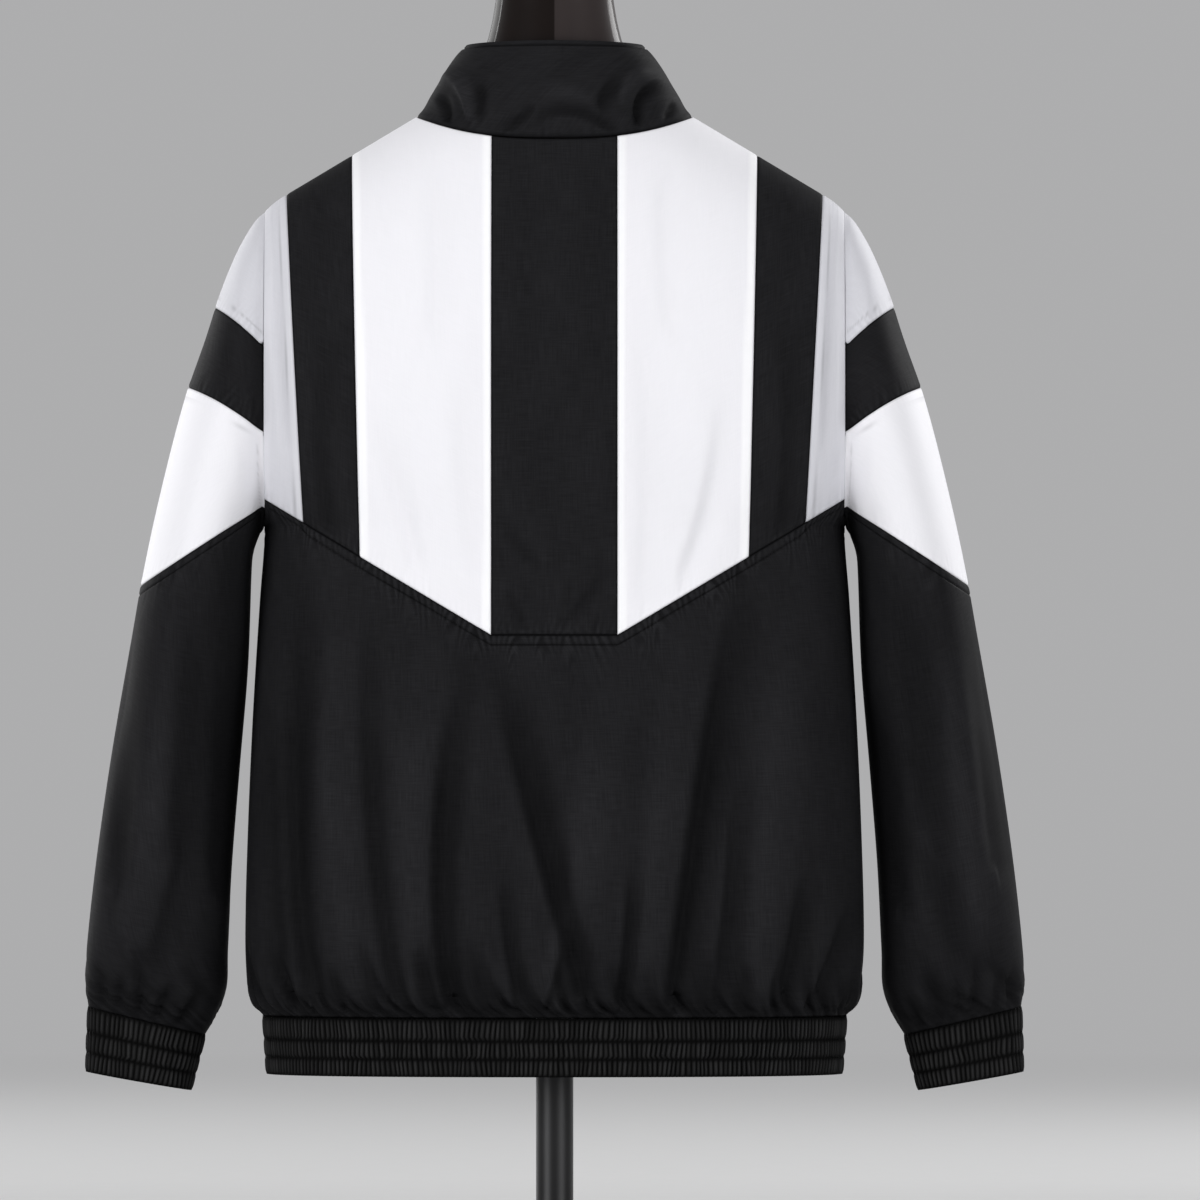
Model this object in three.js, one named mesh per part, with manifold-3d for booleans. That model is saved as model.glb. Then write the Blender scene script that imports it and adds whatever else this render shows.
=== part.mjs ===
// A windbreaker on a limbless dress form with a pole and a round base.
// Millimetres, +Z up. The origin is under the middle of the base, and the garment's front faces -Y.
// Each cloth piece is a closed wall between an outer and an inner grid of points, and the walls
// meet at seams that are SEAM wide. Heights in the garment are counted from the hem's lower edge.
import * as THREE from "three";
import Module from "manifold-3d";

const wasm = await Module();
wasm.setup();

// ---- Driving dimensions ----
const HEM_HEIGHT = 120; // the hem's lower edge over the surface that the base stands on
const SEAM = 0.3; // gap between two pieces that are sewn together
const SEAM_BEND = 0.05; // the sine of the turn from which a seam counts as bent
const CLOTH = 1.5; // one layer of shell cloth with its mesh backing
const DOUBLE_CLOTH = 3; // collar, waistband and cuffs

const BAND_TOP = 43; // the waistband's upper edge
const UNDERARM_Z = 410; // the lowest point of the armhole
const ARMHOLE_X = 217; // the upright plane of the armhole seam
const ARMHOLE_FLARE = 35; // how much wider than that plane the body would be above the underarm
const ARMHOLE_RISE = 45; // the height over which that flare comes in
const BODY_SQUARE = 2.4; // superellipse exponent of the body's level sections
const SHOULDER_START_Z = 430; // where the back and front begin to lean in to the shoulder line
const NECK_POINT_X = 104; // where the neckline meets the shoulder line
const NECK_POINT_Z = 717;
const SHOULDER_SLOPE = 0.598; // fall of the shoulder line for each millimetre outwards
const SHOULDER_BEND_X = 204; // past this the shoulder line rounds off into the sleeve
const SHOULDER_TIP_Z = 646.5;
const NECK_BACK_Z = 699.5; // the neckline at the middle of the back
const NECK_FRONT_Z = 655; // the neckline at the zip
const ZIP_GAP = 7; // half the gap between the two front edges

// Level sections of the body: half the width, and the depth behind and in front of the side seams.
const bodySections = [
  { z: 43, width: 220.5, back: 111, front: 115 },
  { z: 52, width: 226, back: 116, front: 120 },
  { z: 70, width: 230.5, back: 121, front: 125 },
  { z: 105, width: 232, back: 123, front: 127 },
  { z: 175, width: 230.3, back: 121.5, front: 126 },
  { z: 265, width: 226.5, back: 118.5, front: 125 },
  { z: 355, width: 221, back: 117.5, front: 125 },
  { z: 410, width: 217, back: 118.5, front: 125 },
  { z: 480, width: 217, back: 119.5, front: 123 },
  { z: 560, width: 217, back: 117, front: 118 },
  { z: 720, width: 217, back: 114, front: 112 },
];

// The upright stripes of the back and the fronts, from the middle out. x is where a stripe's outer
// seam lies at the yoke seam below and at the shoulder above; columns are its grid's.
const stripes = [
  { name: "centre", below: 47, above: 47, columns: 2 },
  { name: "white", below: 145, above: 152, columns: 8 },
  { name: "black", below: 187.5, above: 201, columns: 3 },
  { name: "grey", below: 217, above: 217, columns: 3 },
];
// Where the white stripe's columns end: five on the neckline and three on the shoulder line.
const WHITE_TOPS = [47, 64, 80, 92, 100, NECK_POINT_X, 120, 136, 152];
// Shares of the way up the back or front, measured round its curve.
const UPPER_ROWS = [0, 0.11, 0.22, 0.34, 0.46, 0.58, 0.69, 0.79, 0.88, 0.945, 1];

// The yoke seam: level across the centre stripe, then rising to the armhole.
const YOKE_MIDDLE_Z = 329;
const YOKE_ARMHOLE_Z = 430;
const LOWER_ROWS = [0, 0.03, 0.07, 0.14, 0.26, 0.42, 0.6, 0.8, 1]; // shares of a column's height
const GATHERS = 30; // waves round the hem where the body is drawn into the waistband
const GATHER_DEPTH = 0.011; // of the body's radius
const GATHER_HEIGHT = 14; // over which the waves fade

// Long soft troughs that fall from the yoke to the waistband. Each runs through three points,
// given as x and z, and is widest and deepest low down.
const backFolds = [
  { topX: 187, topZ: 370, midX: 197, midZ: 200, lowX: 183, lowZ: 60, reach: 13, depth: 5 },
  { topX: 135, topZ: 375, midX: 138, midZ: 215, lowX: 120, lowZ: 55, reach: 11, depth: 3 },
  { topX: 60, topZ: 325, midX: 85, midZ: 180, lowX: 78, lowZ: 52, reach: 12, depth: 5 },
  { topX: 46, topZ: 318, midX: 9, midZ: 185, lowX: -20, lowZ: 62, reach: 13, depth: 6 },
  { topX: 38, topZ: 160, midX: 35, midZ: 105, lowX: 26, lowZ: 50, reach: 9, depth: 3.5 },
  { topX: -64, topZ: 165, midX: -57, midZ: 118, lowX: -47, lowZ: 55, reach: 10, depth: 4 },
  { topX: -143, topZ: 380, midX: -113, midZ: 205, lowX: -87, lowZ: 60, reach: 14, depth: 6 },
  { topX: -136, topZ: 240, midX: -133, midZ: 145, lowX: -121, lowZ: 55, reach: 11, depth: 4.5 },
  { topX: -193, topZ: 160, midX: -181, midZ: 108, lowX: -170, lowZ: 50, reach: 11, depth: 4.5 },
];
const frontFolds = [
  { topX: 182, topZ: 360, midX: 188, midZ: 200, lowX: 172, lowZ: 58, reach: 13, depth: 5 },
  { topX: 120, topZ: 300, midX: 118, midZ: 180, lowX: 128, lowZ: 55, reach: 12, depth: 4 },
  { topX: 52, topZ: 330, midX: 62, midZ: 190, lowX: 70, lowZ: 56, reach: 12, depth: 5 },
  { topX: -50, topZ: 322, midX: -66, midZ: 180, lowX: -58, lowZ: 54, reach: 12, depth: 5 },
  { topX: -110, topZ: 250, midX: -104, midZ: 150, lowX: -112, lowZ: 52, reach: 11, depth: 4 },
  { topX: -176, topZ: 370, midX: -168, midZ: 210, lowX: -155, lowZ: 60, reach: 13, depth: 5 },
];

// Sections of the sleeve on the +X side, from the armhole to the cuff. Each is a loop through an
// outer and an inner point, with its greatest depth across them, before and behind its middle.
const sleeveSections = [
  { at: 0, outerX: 217, outerZ: SHOULDER_TIP_Z, innerX: 217, innerZ: UNDERARM_Z, depth: 67, shift: 0 },
  { at: 1, outerX: 225, outerZ: 638.5, innerX: 218.5, innerZ: 407.5, depth: 70, shift: 0 },
  { at: 2, outerX: 237.5, outerZ: 617, innerX: 220, innerZ: 405, depth: 73, shift: 0 },
  { at: 3, outerX: 250, outerZ: 587, innerX: 221.5, innerZ: 402, depth: 76, shift: -1 },
  { at: 4, outerX: 262, outerZ: 550, innerX: 223, innerZ: 398.5, depth: 78, shift: -1 },
  { at: 5, outerX: 277.5, outerZ: 505, innerX: 225, innerZ: 393, depth: 79, shift: -2 },
  { at: 6, outerX: 292, outerZ: 450, innerX: 226.5, innerZ: 386, depth: 79, shift: -3 },
  { at: 7, outerX: 306, outerZ: 388, innerX: 227.5, innerZ: 368, depth: 78, shift: -4 },
  { at: 8, outerX: 319, outerZ: 317, innerX: 230, innerZ: 303, depth: 75, shift: -6 },
  { at: 9, outerX: 332, outerZ: 242, innerX: 236, innerZ: 231, depth: 70, shift: -8 },
  { at: 10, outerX: 343, outerZ: 167, innerX: 242, innerZ: 156, depth: 64, shift: -10 },
  { at: 11, outerX: 350, outerZ: 107, innerX: 245, innerZ: 95, depth: 57, shift: -12 },
  { at: 12, outerX: 352.5, outerZ: 74, innerX: 247, innerZ: 60, depth: 46, shift: -13 },
  { at: 13, outerX: 350.5, outerZ: 49.5, innerX: 262, innerZ: 28.5, depth: 25, shift: -14 },
];
const SLEEVE_END = 13;
const SLEEVE_SQUARE = 2.15;
// Half turns from the sleeve's outer line round to the underarm, in degrees. The three seams below
// reach the armhole at 82, 114 and 151 degrees.
const SLEEVE_ANGLES = [0, 20.5, 41, 61.5, 82, 98, 114, 132.5, 151, 165.5, 180];
const SEAM_ANGLE = 0.18; // a seam's width at the armhole, in degrees
const SLEEVE_GATHER_DEPTH = 2.2;
const SLEEVE_GATHER_REACH = 0.55; // in sections
// The sleeve's pieced seams, straight from the outer line to the armhole as seen from behind.
const sleeveSeams = [
  { name: "grey_black", outerX: 254.6, outerZ: 574, armholeZ: 544.5, angle: 82, bow: 2 },
  { name: "black_white", outerX: 274, outerZ: 514, armholeZ: 480, angle: 114, bow: 3 },
  { name: "white_lower", outerX: 310, outerZ: 366, armholeZ: 425, angle: 151, bow: 0 },
];

// The cuff on the +X side, a flat tube that leans with the sleeve's end.
const cuffSections = [
  { at: 0, outerX: 352, outerZ: 1, innerX: 272.5, innerZ: -13, depth: 24, shift: -15 },
  { at: 1, outerX: 350.5, outerZ: 49.2, innerX: 262, innerZ: 28.2, depth: 25, shift: -14 },
];

// Shirred elastic: pleats round the band, held down by two rows of stitching and at both edges.
const BAND_PLEATS = 66;
const CUFF_PLEATS = 20;
const PLEAT_RAISE = 1.5;
const shirring = [
  { share: 0, raise: 0.5 },
  { share: 0.17, raise: 1 },
  { share: 0.333, raise: 0.1 },
  { share: 0.5, raise: 1 },
  { share: 0.667, raise: 0.1 },
  { share: 0.83, raise: 1 },
  { share: 1, raise: 0.4 },
];
const bandSections = [
  { z: 0, width: 216, back: 107.5, front: 111.5 },
  { z: 43, width: 219, back: 109.5, front: 113.5 },
];

// The stand collar, from the neckline up. Heights at the side, the back and the zip.
const collarRows = [
  { width: 98.5, back: 70.5, front: 85, sideZ: 723, backZ: 706, frontZ: 664 },
  { width: 96, back: 72, front: 84.5, sideZ: 732, backZ: 720, frontZ: 677 },
  { width: 91, back: 71, front: 82, sideZ: 742, backZ: 736, frontZ: 692 },
  { width: 83.5, back: 68.5, front: 78, sideZ: 753, backZ: 750, frontZ: 706 },
  { width: 74, back: 64.5, front: 72.5, sideZ: 763.5, backZ: 763, frontZ: 718 },
  { width: 66, back: 61, front: 68, sideZ: 771, backZ: 773, frontZ: 727 },
];

const ZIP_SUNK = 0.4; // the tape's face behind the front edges' faces
const ZIP_CLEAR = 0.6; // between the tape and the front edges
const ZIP_TEETH = 2.2; // half the width of the closed teeth
const ZIP_PROUD = 1.2; // the teeth over the tape
const ZIP_STEPS = [1, 22, 44, 56, 75, 105, 175, 265, 340, 410, 480, 550, 605, NECK_FRONT_Z];

// The slider is at the top of the zip. Its plate is a shield with a bail for the pull's bar.
const slider = {
  z: 709,
  thick: 2.2,
  outline: [
    { x: 2.6, up: -5.5 },
    { x: 4.2, up: 0.5 },
    { x: 4.6, up: 4 },
    { x: 2.8, up: 5.8 },
  ],
  bailWidth: 2.2,
  bailThick: 1.2,
  tunnelLong: 4,
  tunnelHigh: 2.6,
};
const pull = {
  thick: 1.6,
  armIn: 1.6,
  armOut: 2.8,
  slot: 4.6, // from the bar to the tab
  outline: [
    { x: 2.8, up: -4.5 },
    { x: 3.6, up: -8 },
    { x: 3.6, up: -21 },
    { x: 2.4, up: -23 },
  ],
};

// Level sections of the dress form, in the garment's heights.
const REST_GAP = 0.8; // between the shoulders of the form and the cloth that lies on them
const formSections = [
  { z: 88, width: 150, back: 78, front: 82, square: 2.1 },
  { z: 95, width: 163, back: 89, front: 93, square: 2.1 },
  { z: 130, width: 170, back: 95, front: 98, square: 2.1 },
  { z: 190, width: 172, back: 96, front: 98, square: 2.1 },
  { z: 250, width: 164, back: 89, front: 92, square: 2.1 },
  { z: 310, width: 158, back: 85, front: 90, square: 2.1 },
  { z: 380, width: 165, back: 91, front: 100, square: 2.1 },
  { z: 450, width: 178, back: 96, front: 106, square: 2.1 },
  { z: 520, width: 189, back: 94, front: 101, square: 2.05 },
  { z: 580, width: 197, back: 84, front: 88, square: 2 },
  { z: 622, width: 200, back: 71, front: 75, square: 1.9 },
  { z: 645, width: 200.5, back: 62, front: 68, square: 1.75 },
  { z: 657, width: formWidthAt(657), back: 58, front: 64, square: 1.65 },
  { z: 680, width: formWidthAt(680), back: 54, front: 58, square: 1.6 },
  { z: 705, width: formWidthAt(705), back: 49, front: 52, square: 1.6 },
  { z: 712, width: formWidthAt(712), back: 48, front: 50, square: 1.65 },
  { z: 719, width: 91, back: 47, front: 49, square: 1.75 },
  { z: 730, width: 76, back: 46.5, front: 48, square: 1.9 },
  { z: 742, width: 67, back: 46, front: 47.5, square: 2 },
  { z: 756, width: 58.5, back: 45.5, front: 47, square: 2 },
  { z: 771, width: 51.5, back: 44.5, front: 46, square: 2 },
  { z: 788, width: 46, back: 43, front: 44, square: 2 },
  { z: 806, width: 42, back: 41, front: 42, square: 2 },
  { z: 824, width: 40, back: 40, front: 40, square: 2 },
  { z: 830, width: 36, back: 36, front: 36, square: 2 },
];
const FORM_SIDES = 28;

const BASE_RADIUS = 150;
const BASE_THICK = 10;
const BASE_BEVEL = 2;
const POLE_RADIUS = 14;
const FOOT_RADIUS = 28; // the pole's flange on the base
const FLANGE_RADIUS = 42; // the pole's flange under the form
const FLANGE_THICK = 5;

// ---- Small helpers ----
const radians = THREE.MathUtils.degToRad;
const mix = THREE.MathUtils.lerp;
const point = (x, y, z) => new THREE.Vector3(x, y, z);
const power = (base, exponent) => Math.sign(base) * Math.abs(base) ** exponent;

// Every column of a table at a value of one of them, on smooth curves through the rows.
function sample(table, by, value) {
  const last = table.length - 1;
  const wanted = THREE.MathUtils.clamp(value, table[0][by], table[last][by]);
  let i = 0;
  while (i < last - 1 && wanted > table[i + 1][by]) i++;
  const from = table[i];
  const to = table[i + 1];
  const span = to[by] - from[by];
  const t = (wanted - from[by]) / span;
  const slope = (k, key) => {
    const before = table[Math.max(k - 1, 0)];
    const after = table[Math.min(k + 1, last)];
    return (after[key] - before[key]) / (after[by] - before[by]);
  };
  const found = {};
  for (const key of Object.keys(from)) {
    const rise = to[key] - from[key];
    const start = slope(i, key) * span;
    const end = slope(i + 1, key) * span;
    const bend = start + end - 2 * rise;
    found[key] = from[key] + start * t + (3 * rise - 2 * start - end) * t * t + bend * t ** 3;
  }
  return found;
}

// A closed geometry from triangles of points. Points that coincide are one vertex, triangles that
// have shrunk to a line are left out, and the faces are turned to point outwards.
function closed(triangles) {
  const index = new Map();
  const places = [];
  const vertexOf = (p) => {
    const key = [p.x, p.y, p.z].map((v) => Math.round(v * 1e4)).join(" ");
    if (!index.has(key)) {
      index.set(key, places.length);
      places.push(p);
    }
    return index.get(key);
  };
  const faces = triangles
    .map((t) => t.map(vertexOf))
    .filter(([a, b, c]) => a !== b && b !== c && c !== a);
  const volume = faces.reduce((sum, [a, b, c]) => {
    return sum + places[a].dot(places[b].clone().cross(places[c]));
  }, 0);
  const turned = volume < 0 ? faces.map(([a, b, c]) => [a, c, b]) : faces;
  const made = new THREE.BufferGeometry().setFromPoints(places);
  made.setIndex(turned.flat());
  made.computeVertexNormals();
  return made;
}

// The wall between two grids of points, given as rows of columns. The inner grid may have fewer
// rows than the outer one. A round wall joins its last column to its first.
function wall(outer, inner, round = false) {
  const triangles = [];
  const quad = (a, b, c, d) => triangles.push([a, b, c], [a, c, d]);
  const columns = outer[0].length - (round ? 0 : 1);
  const next = (c) => (c + 1) % outer[0].length;
  const face = (grid, inwards) => {
    for (let r = 0; r < grid.length - 1; r++) {
      for (let c = 0; c < columns; c++) {
        const corners = [grid[r][c], grid[r][next(c)], grid[r + 1][next(c)], grid[r + 1][c]];
        quad(...(inwards ? corners.reverse() : corners));
      }
    }
  };
  face(outer, false);
  face(inner, true);
  const top = outer.length - 1;
  const innerTop = inner.length - 1;
  for (let c = 0; c < columns; c++) {
    const n = next(c);
    quad(outer[0][n], outer[0][c], inner[0][c], inner[0][n]);
    quad(outer[top][c], outer[top][n], inner[innerTop][n], inner[innerTop][c]);
  }
  // An upright edge, laced from the outer column to the inner one.
  const lace = (c, turned) => {
    let o = 0;
    let i = 0;
    while (o < top || i < innerTop) {
      const stepOuter = i === innerTop || (o < top && (o + 1) * innerTop <= (i + 1) * top);
      const reached = stepOuter ? outer[o + 1][c] : inner[i + 1][c];
      const triangle = [outer[o][c], reached, inner[i][c]];
      triangles.push(turned ? triangle.reverse() : triangle);
      if (stepOuter) o++;
      else i++;
    }
  };
  if (!round) {
    lace(0, false);
    lace(columns, true);
  }
  return closed(triangles);
}

// A solid skinned over closed rings of points, with a flat end below and above.
function skin(rings) {
  const triangles = [];
  const sides = rings[0].length;
  for (let r = 0; r < rings.length - 1; r++) {
    for (let c = 0; c < sides; c++) {
      const n = (c + 1) % sides;
      triangles.push([rings[r][c], rings[r][n], rings[r + 1][n]]);
      triangles.push([rings[r][c], rings[r + 1][n], rings[r + 1][c]]);
    }
  }
  const cap = (ring, up) => {
    const middle = ring.reduce((sum, p) => sum.add(p), point(0, 0, 0)).divideScalar(sides);
    ring.forEach((p, c) => {
      const q = ring[(c + 1) % sides];
      triangles.push(up ? [p, q, middle] : [q, p, middle]);
    });
  };
  cap(rings[0], false);
  cap(rings[rings.length - 1], true);
  return closed(triangles);
}

// The outward normal of a surface of two parameters. u runs counterclockwise seen from above and
// v runs up, and both stay between their limits.
function normalAt(surface, u, v, step, limits) {
  const held = (value, [low, high]) => THREE.MathUtils.clamp(value, low, high);
  const along = surface(held(u + step, limits.u), v).sub(surface(held(u - step, limits.u), v));
  const up = surface(u, held(v + step, limits.v)).sub(surface(u, held(v - step, limits.v)));
  return along.cross(up).normalize();
}

const FRONT_TO_BACK = point(0, 1, 0);
const SIDE_TO_SIDE = point(1, 0, 0);

// The normals of the flat planes that a seam lies in as it runs from one neighbour through p to
// the other. The side and shoulder seams lie in the plane between the front and the back. All the
// others lie in planes that run straight from front to back.
function seamPlanes(before, p, after) {
  if ([before, p, after].every((q) => Math.abs(q.y) < SEAM)) return [FRONT_TO_BACK];
  const across = (from, to) => point(to.z - from.z, 0, from.x - to.x).normalize();
  return [across(before, p), across(p, after)].filter((normal) => normal.lengthSq() > 0);
}

// A direction turned as little as need be to lie in one or two planes.
function confined(way, planes) {
  if (planes.length === 0) return way.clone();
  const [first] = planes;
  const second = planes.find((other) => other.clone().cross(first).length() > SEAM_BEND);
  if (!second) return way.clone().addScaledVector(first, -way.dot(first)).normalize();
  const along = first.clone().cross(second).normalize();
  return along.multiplyScalar(Math.sign(along.dot(way)) || 1);
}

// The inner grid of a wall. Points on the edges that are sewn to something else move only inside
// the plane of their seam, and further, so that the wall is as thick there as elsewhere.
function innerGrid(outer, normals, thickness, sewn) {
  const top = outer.length - 1;
  const last = outer[0].length - 1;
  return outer.map((row, r) =>
    row.map((p, c) => {
      const planes = sewn.armhole && p.x < ARMHOLE_X + 2 * SEAM ? [SIDE_TO_SIDE] : [];
      const level = [row[Math.max(c - 1, 0)], p, row[Math.min(c + 1, last)]];
      const upright = [outer[Math.max(r - 1, 0)][c], p, outer[Math.min(r + 1, top)][c]];
      if ((r === 0 && sewn.foot) || (r === top && sewn.head)) planes.push(...seamPlanes(...level));
      if (r === top && Math.abs(p.y) < SEAM && !sewn.head) planes.push(FRONT_TO_BACK);
      if ((c === 0 || c === last) && sewn.sides) planes.push(...seamPlanes(...upright));
      const way = confined(normals[r][c], planes);
      const lean = Math.max(0.5, way.dot(normals[r][c]));
      return p.clone().addScaledVector(way, -thickness / lean);
    }),
  );
}

// A wall whose outer face is a surface of two parameters from 0 to 1, under it by a thickness.
function clothPatch(surface, columns, rows, thickness, sewn) {
  const limits = { u: [0, 1], v: [0, 1] };
  const outer = rows.map((v) => columns.map((u) => surface(u, v)));
  const normals = rows.map((v) => columns.map((u) => normalAt(surface, u, v, 1e-4, limits)));
  return wall(outer, innerGrid(outer, normals, thickness, sewn));
}

const evenly = (count) => Array.from({ length: count + 1 }, (_, i) => i / count);

// ---- Finishes ----
const finish = (color, roughness, metalness = 0) =>
  new THREE.MeshStandardMaterial({ color, roughness, metalness });
const blackCloth = finish(0x232325, 0.5);
const whiteCloth = finish(0xf3f3f6, 0.55);
const greyCloth = finish(0xd0d0d5, 0.55);
const elastic = finish(0x202022, 0.6);
const zipPlastic = finish(0x1a1a1c, 0.4);
const zipMetal = finish(0x2b2b2e, 0.35, 0.9);
const lacquer = finish(0x241a19, 0.25);
const blackSteel = finish(0x18181a, 0.4, 0.6);

function piece(parent, name, geometry, material) {
  const mesh = new THREE.Mesh(geometry, material);
  mesh.name = name;
  parent.add(mesh);
  return mesh;
}

// ---- The body ----

// Height of the shoulder line over each x. Inside the neck points it is only the ridge that the
// neckline is cut from.
function shoulderLine(x) {
  const across = Math.abs(x);
  if (across < NECK_POINT_X) {
    const inside = (NECK_POINT_X - across) / NECK_POINT_X;
    return NECK_POINT_Z + SHOULDER_SLOPE * NECK_POINT_X * (inside - 0.18 * inside ** 2);
  }
  const straight = NECK_POINT_Z - SHOULDER_SLOPE * (across - NECK_POINT_X);
  const past = Math.max(0, across - SHOULDER_BEND_X);
  const bend = NECK_POINT_Z - SHOULDER_SLOPE * (ARMHOLE_X - NECK_POINT_X) - SHOULDER_TIP_Z;
  return straight - bend * (past / (ARMHOLE_X - SHOULDER_BEND_X)) ** 2;
}

function neckline(back, x) {
  const share = Math.abs(x) / NECK_POINT_X;
  const middle = back ? NECK_BACK_Z : NECK_FRONT_Z;
  return mix(middle, NECK_POINT_Z, share ** (back ? 2.6 : 2.2));
}

function yokeSeam(x) {
  const rise = (YOKE_ARMHOLE_Z - YOKE_MIDDLE_Z) / (ARMHOLE_X - stripes[0].below);
  return YOKE_MIDDLE_Z + Math.max(0, Math.abs(x) - stripes[0].below) * rise;
}

function bodyWidth(z) {
  if (z <= UNDERARM_Z) return sample(bodySections, "z", z).width;
  return ARMHOLE_X + ARMHOLE_FLARE * (1 - Math.exp((UNDERARM_Z - z) / ARMHOLE_RISE));
}

// How far the long troughs sink the cloth at a place.
function foldDepth(back, x, z) {
  return (back ? backFolds : frontFolds).reduce((sum, f) => {
    const t = (z - f.lowZ) / (f.topZ - f.lowZ);
    if (t > 1) return sum;
    const low = Math.max(0, t);
    const middle = (f.midZ - f.lowZ) / (f.topZ - f.lowZ);
    const bend = (f.midX - mix(f.lowX, f.topX, middle)) / (middle * (1 - middle));
    const line = mix(f.lowX, f.topX, low) + bend * low * (1 - low);
    const fade = Math.sin(Math.PI * 0.5 * Math.min(1, (1 - t) * 1.6)) ** 2;
    return sum + f.depth * fade * Math.exp(-(((x - line) / f.reach) ** 2));
  }, 0);
}

// Distance of the outer face from the plane of the side seams.
function bodyDepth(back, x, z) {
  const section = sample(bodySections, "z", z);
  const across = Math.min(1, Math.abs(x) / bodyWidth(z));
  const lateral = (1 - across ** BODY_SQUARE) ** (1 / BODY_SQUARE);
  const climb = (z - SHOULDER_START_Z) / (shoulderLine(x) - SHOULDER_START_Z);
  const roundness = 2 + Math.abs(x) / ARMHOLE_X;
  const closing = climb <= 0 ? 1 : Math.sqrt(Math.max(0, 1 - climb ** roundness));
  const sunk = foldDepth(back, x, z) * lateral * closing;
  return (back ? section.back : section.front) * lateral * closing - sunk;
}

// A point of the body's outer face. The back and front stand half a seam off the side-seam plane.
function bodyPoint(back, x, z) {
  const depth = bodyDepth(back, x, z) + SEAM / 2;
  return point(x, back ? depth : -depth, z);
}

// The angle round from the middle of the back or front, and the x at an angle.
const angleAt = (x, z) => Math.asin(Math.min(1, Math.abs(x) / bodyWidth(z)) ** (BODY_SQUARE / 2)) * Math.sign(x);
const acrossAt = (angle, z) => bodyWidth(z) * power(Math.sin(angle), 2 / BODY_SQUARE);

// Below the yoke the cloth is gathered into the waistband.
function gatheredPoint(back, angle, z) {
  const base = bodyPoint(back, acrossAt(angle, z), z);
  const fade = Math.exp(-(z - BAND_TOP) / GATHER_HEIGHT);
  const swell = 1 + GATHER_DEPTH * Math.cos(GATHERS * angle) * fade;
  return point(base.x * swell, base.y * (Math.abs(angle) > 1.57 ? 1 : swell), z);
}

// Columns of the upper body: where each starts on the yoke seam and ends at the top.
function stripeColumns(stripe, inner) {
  const bottoms = evenly(stripe.columns).map((s) => mix(inner.below, stripe.below, s));
  const tops = evenly(stripe.columns).map((s) => mix(inner.above, stripe.above, s));
  return bottoms.map((below, i) => ({ below, above: stripe.name === "white" ? WHITE_TOPS[i] : tops[i] }));
}

// A stripe of the upper back or front between two seams; hand is +1 or -1 for its side.
function stripePatch(back, hand, columns) {
  const last = columns.length - 1;
  const surface = (u, v) => {
    const at = u * last;
    const i = Math.min(last - 1, Math.floor(at));
    const nudge = mix(SEAM / 2, -SEAM / 2, u); // half a seam off each neighbour
    const below = mix(columns[i].below, columns[i + 1].below, at - i) + nudge;
    const above = mix(columns[i].above, columns[i + 1].above, at - i) + nudge;
    const start = yokeSeam(below) + SEAM / 2;
    const ridge = shoulderLine(above);
    const top = above < NECK_POINT_X ? neckline(back, above) : ridge;
    const arc = Math.asin(Math.min(1, (top - start) / (ridge - start)));
    const share = Math.sin(v * arc) / Math.sin(arc);
    return bodyPoint(back, hand * mix(below, above, share), mix(start, top, share));
  };
  const counterclockwise = back === hand < 0;
  const turned = counterclockwise ? surface : (u, v) => surface(1 - u, v);
  return clothPatch(turned, evenly(last), UPPER_ROWS, CLOTH, { foot: true, sides: true });
}

// Columns of the lower body from the middle out, by where they end above and their angle below.
function lowerColumns(fromX) {
  const starts = stripes.flatMap((stripe, i) =>
    evenly(i ? stripe.columns : 2)
      .slice(i ? 1 : 0)
      .map((s) => mix(i ? stripes[i - 1].below : fromX, stripe.below, s)),
  );
  const tops = starts.map((x) => ({ x, z: yokeSeam(x) }));
  tops.push({ x: ARMHOLE_X, z: mix(YOKE_ARMHOLE_Z, UNDERARM_Z, 0.6) }, { x: ARMHOLE_X, z: UNDERARM_Z });
  const first = Math.asin((fromX / bodyWidth(BAND_TOP)) ** (BODY_SQUARE / 2));
  return tops.map((top, i) => ({
    topZ: top.z - SEAM / 2,
    above: top.z === UNDERARM_Z ? Math.PI / 2 : angleAt(top.x - SEAM / 2, top.z),
    below: mix(first, Math.PI / 2, i / (tops.length - 1)),
  }));
}

// One side of the lower body, or the whole lower back when both sides are given.
function lowerPatch(back, hands, fromX) {
  const half = lowerColumns(fromX);
  const mirrored = (hand) => half.map((c) => ({ topZ: c.topZ, above: hand * c.above, below: hand * c.below }));
  let columns = mirrored(hands[0]);
  if (hands.length > 1) columns = [...mirrored(1).reverse(), ...mirrored(-1).slice(1)];
  const clockwise = columns[0].below < columns[columns.length - 1].below === back;
  if (clockwise) columns.reverse();
  const last = columns.length - 1;
  const surface = (u, v) => {
    const at = u * last;
    const i = Math.min(last - 1, Math.floor(at));
    const between = (key) => mix(columns[i][key], columns[i + 1][key], at - i);
    const z = mix(BAND_TOP + SEAM / 2, between("topZ"), v);
    return gatheredPoint(back, mix(between("below"), between("above"), v), z);
  };
  return clothPatch(surface, evenly(last), LOWER_ROWS, CLOTH, { foot: true, head: true, sides: true });
}

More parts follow.
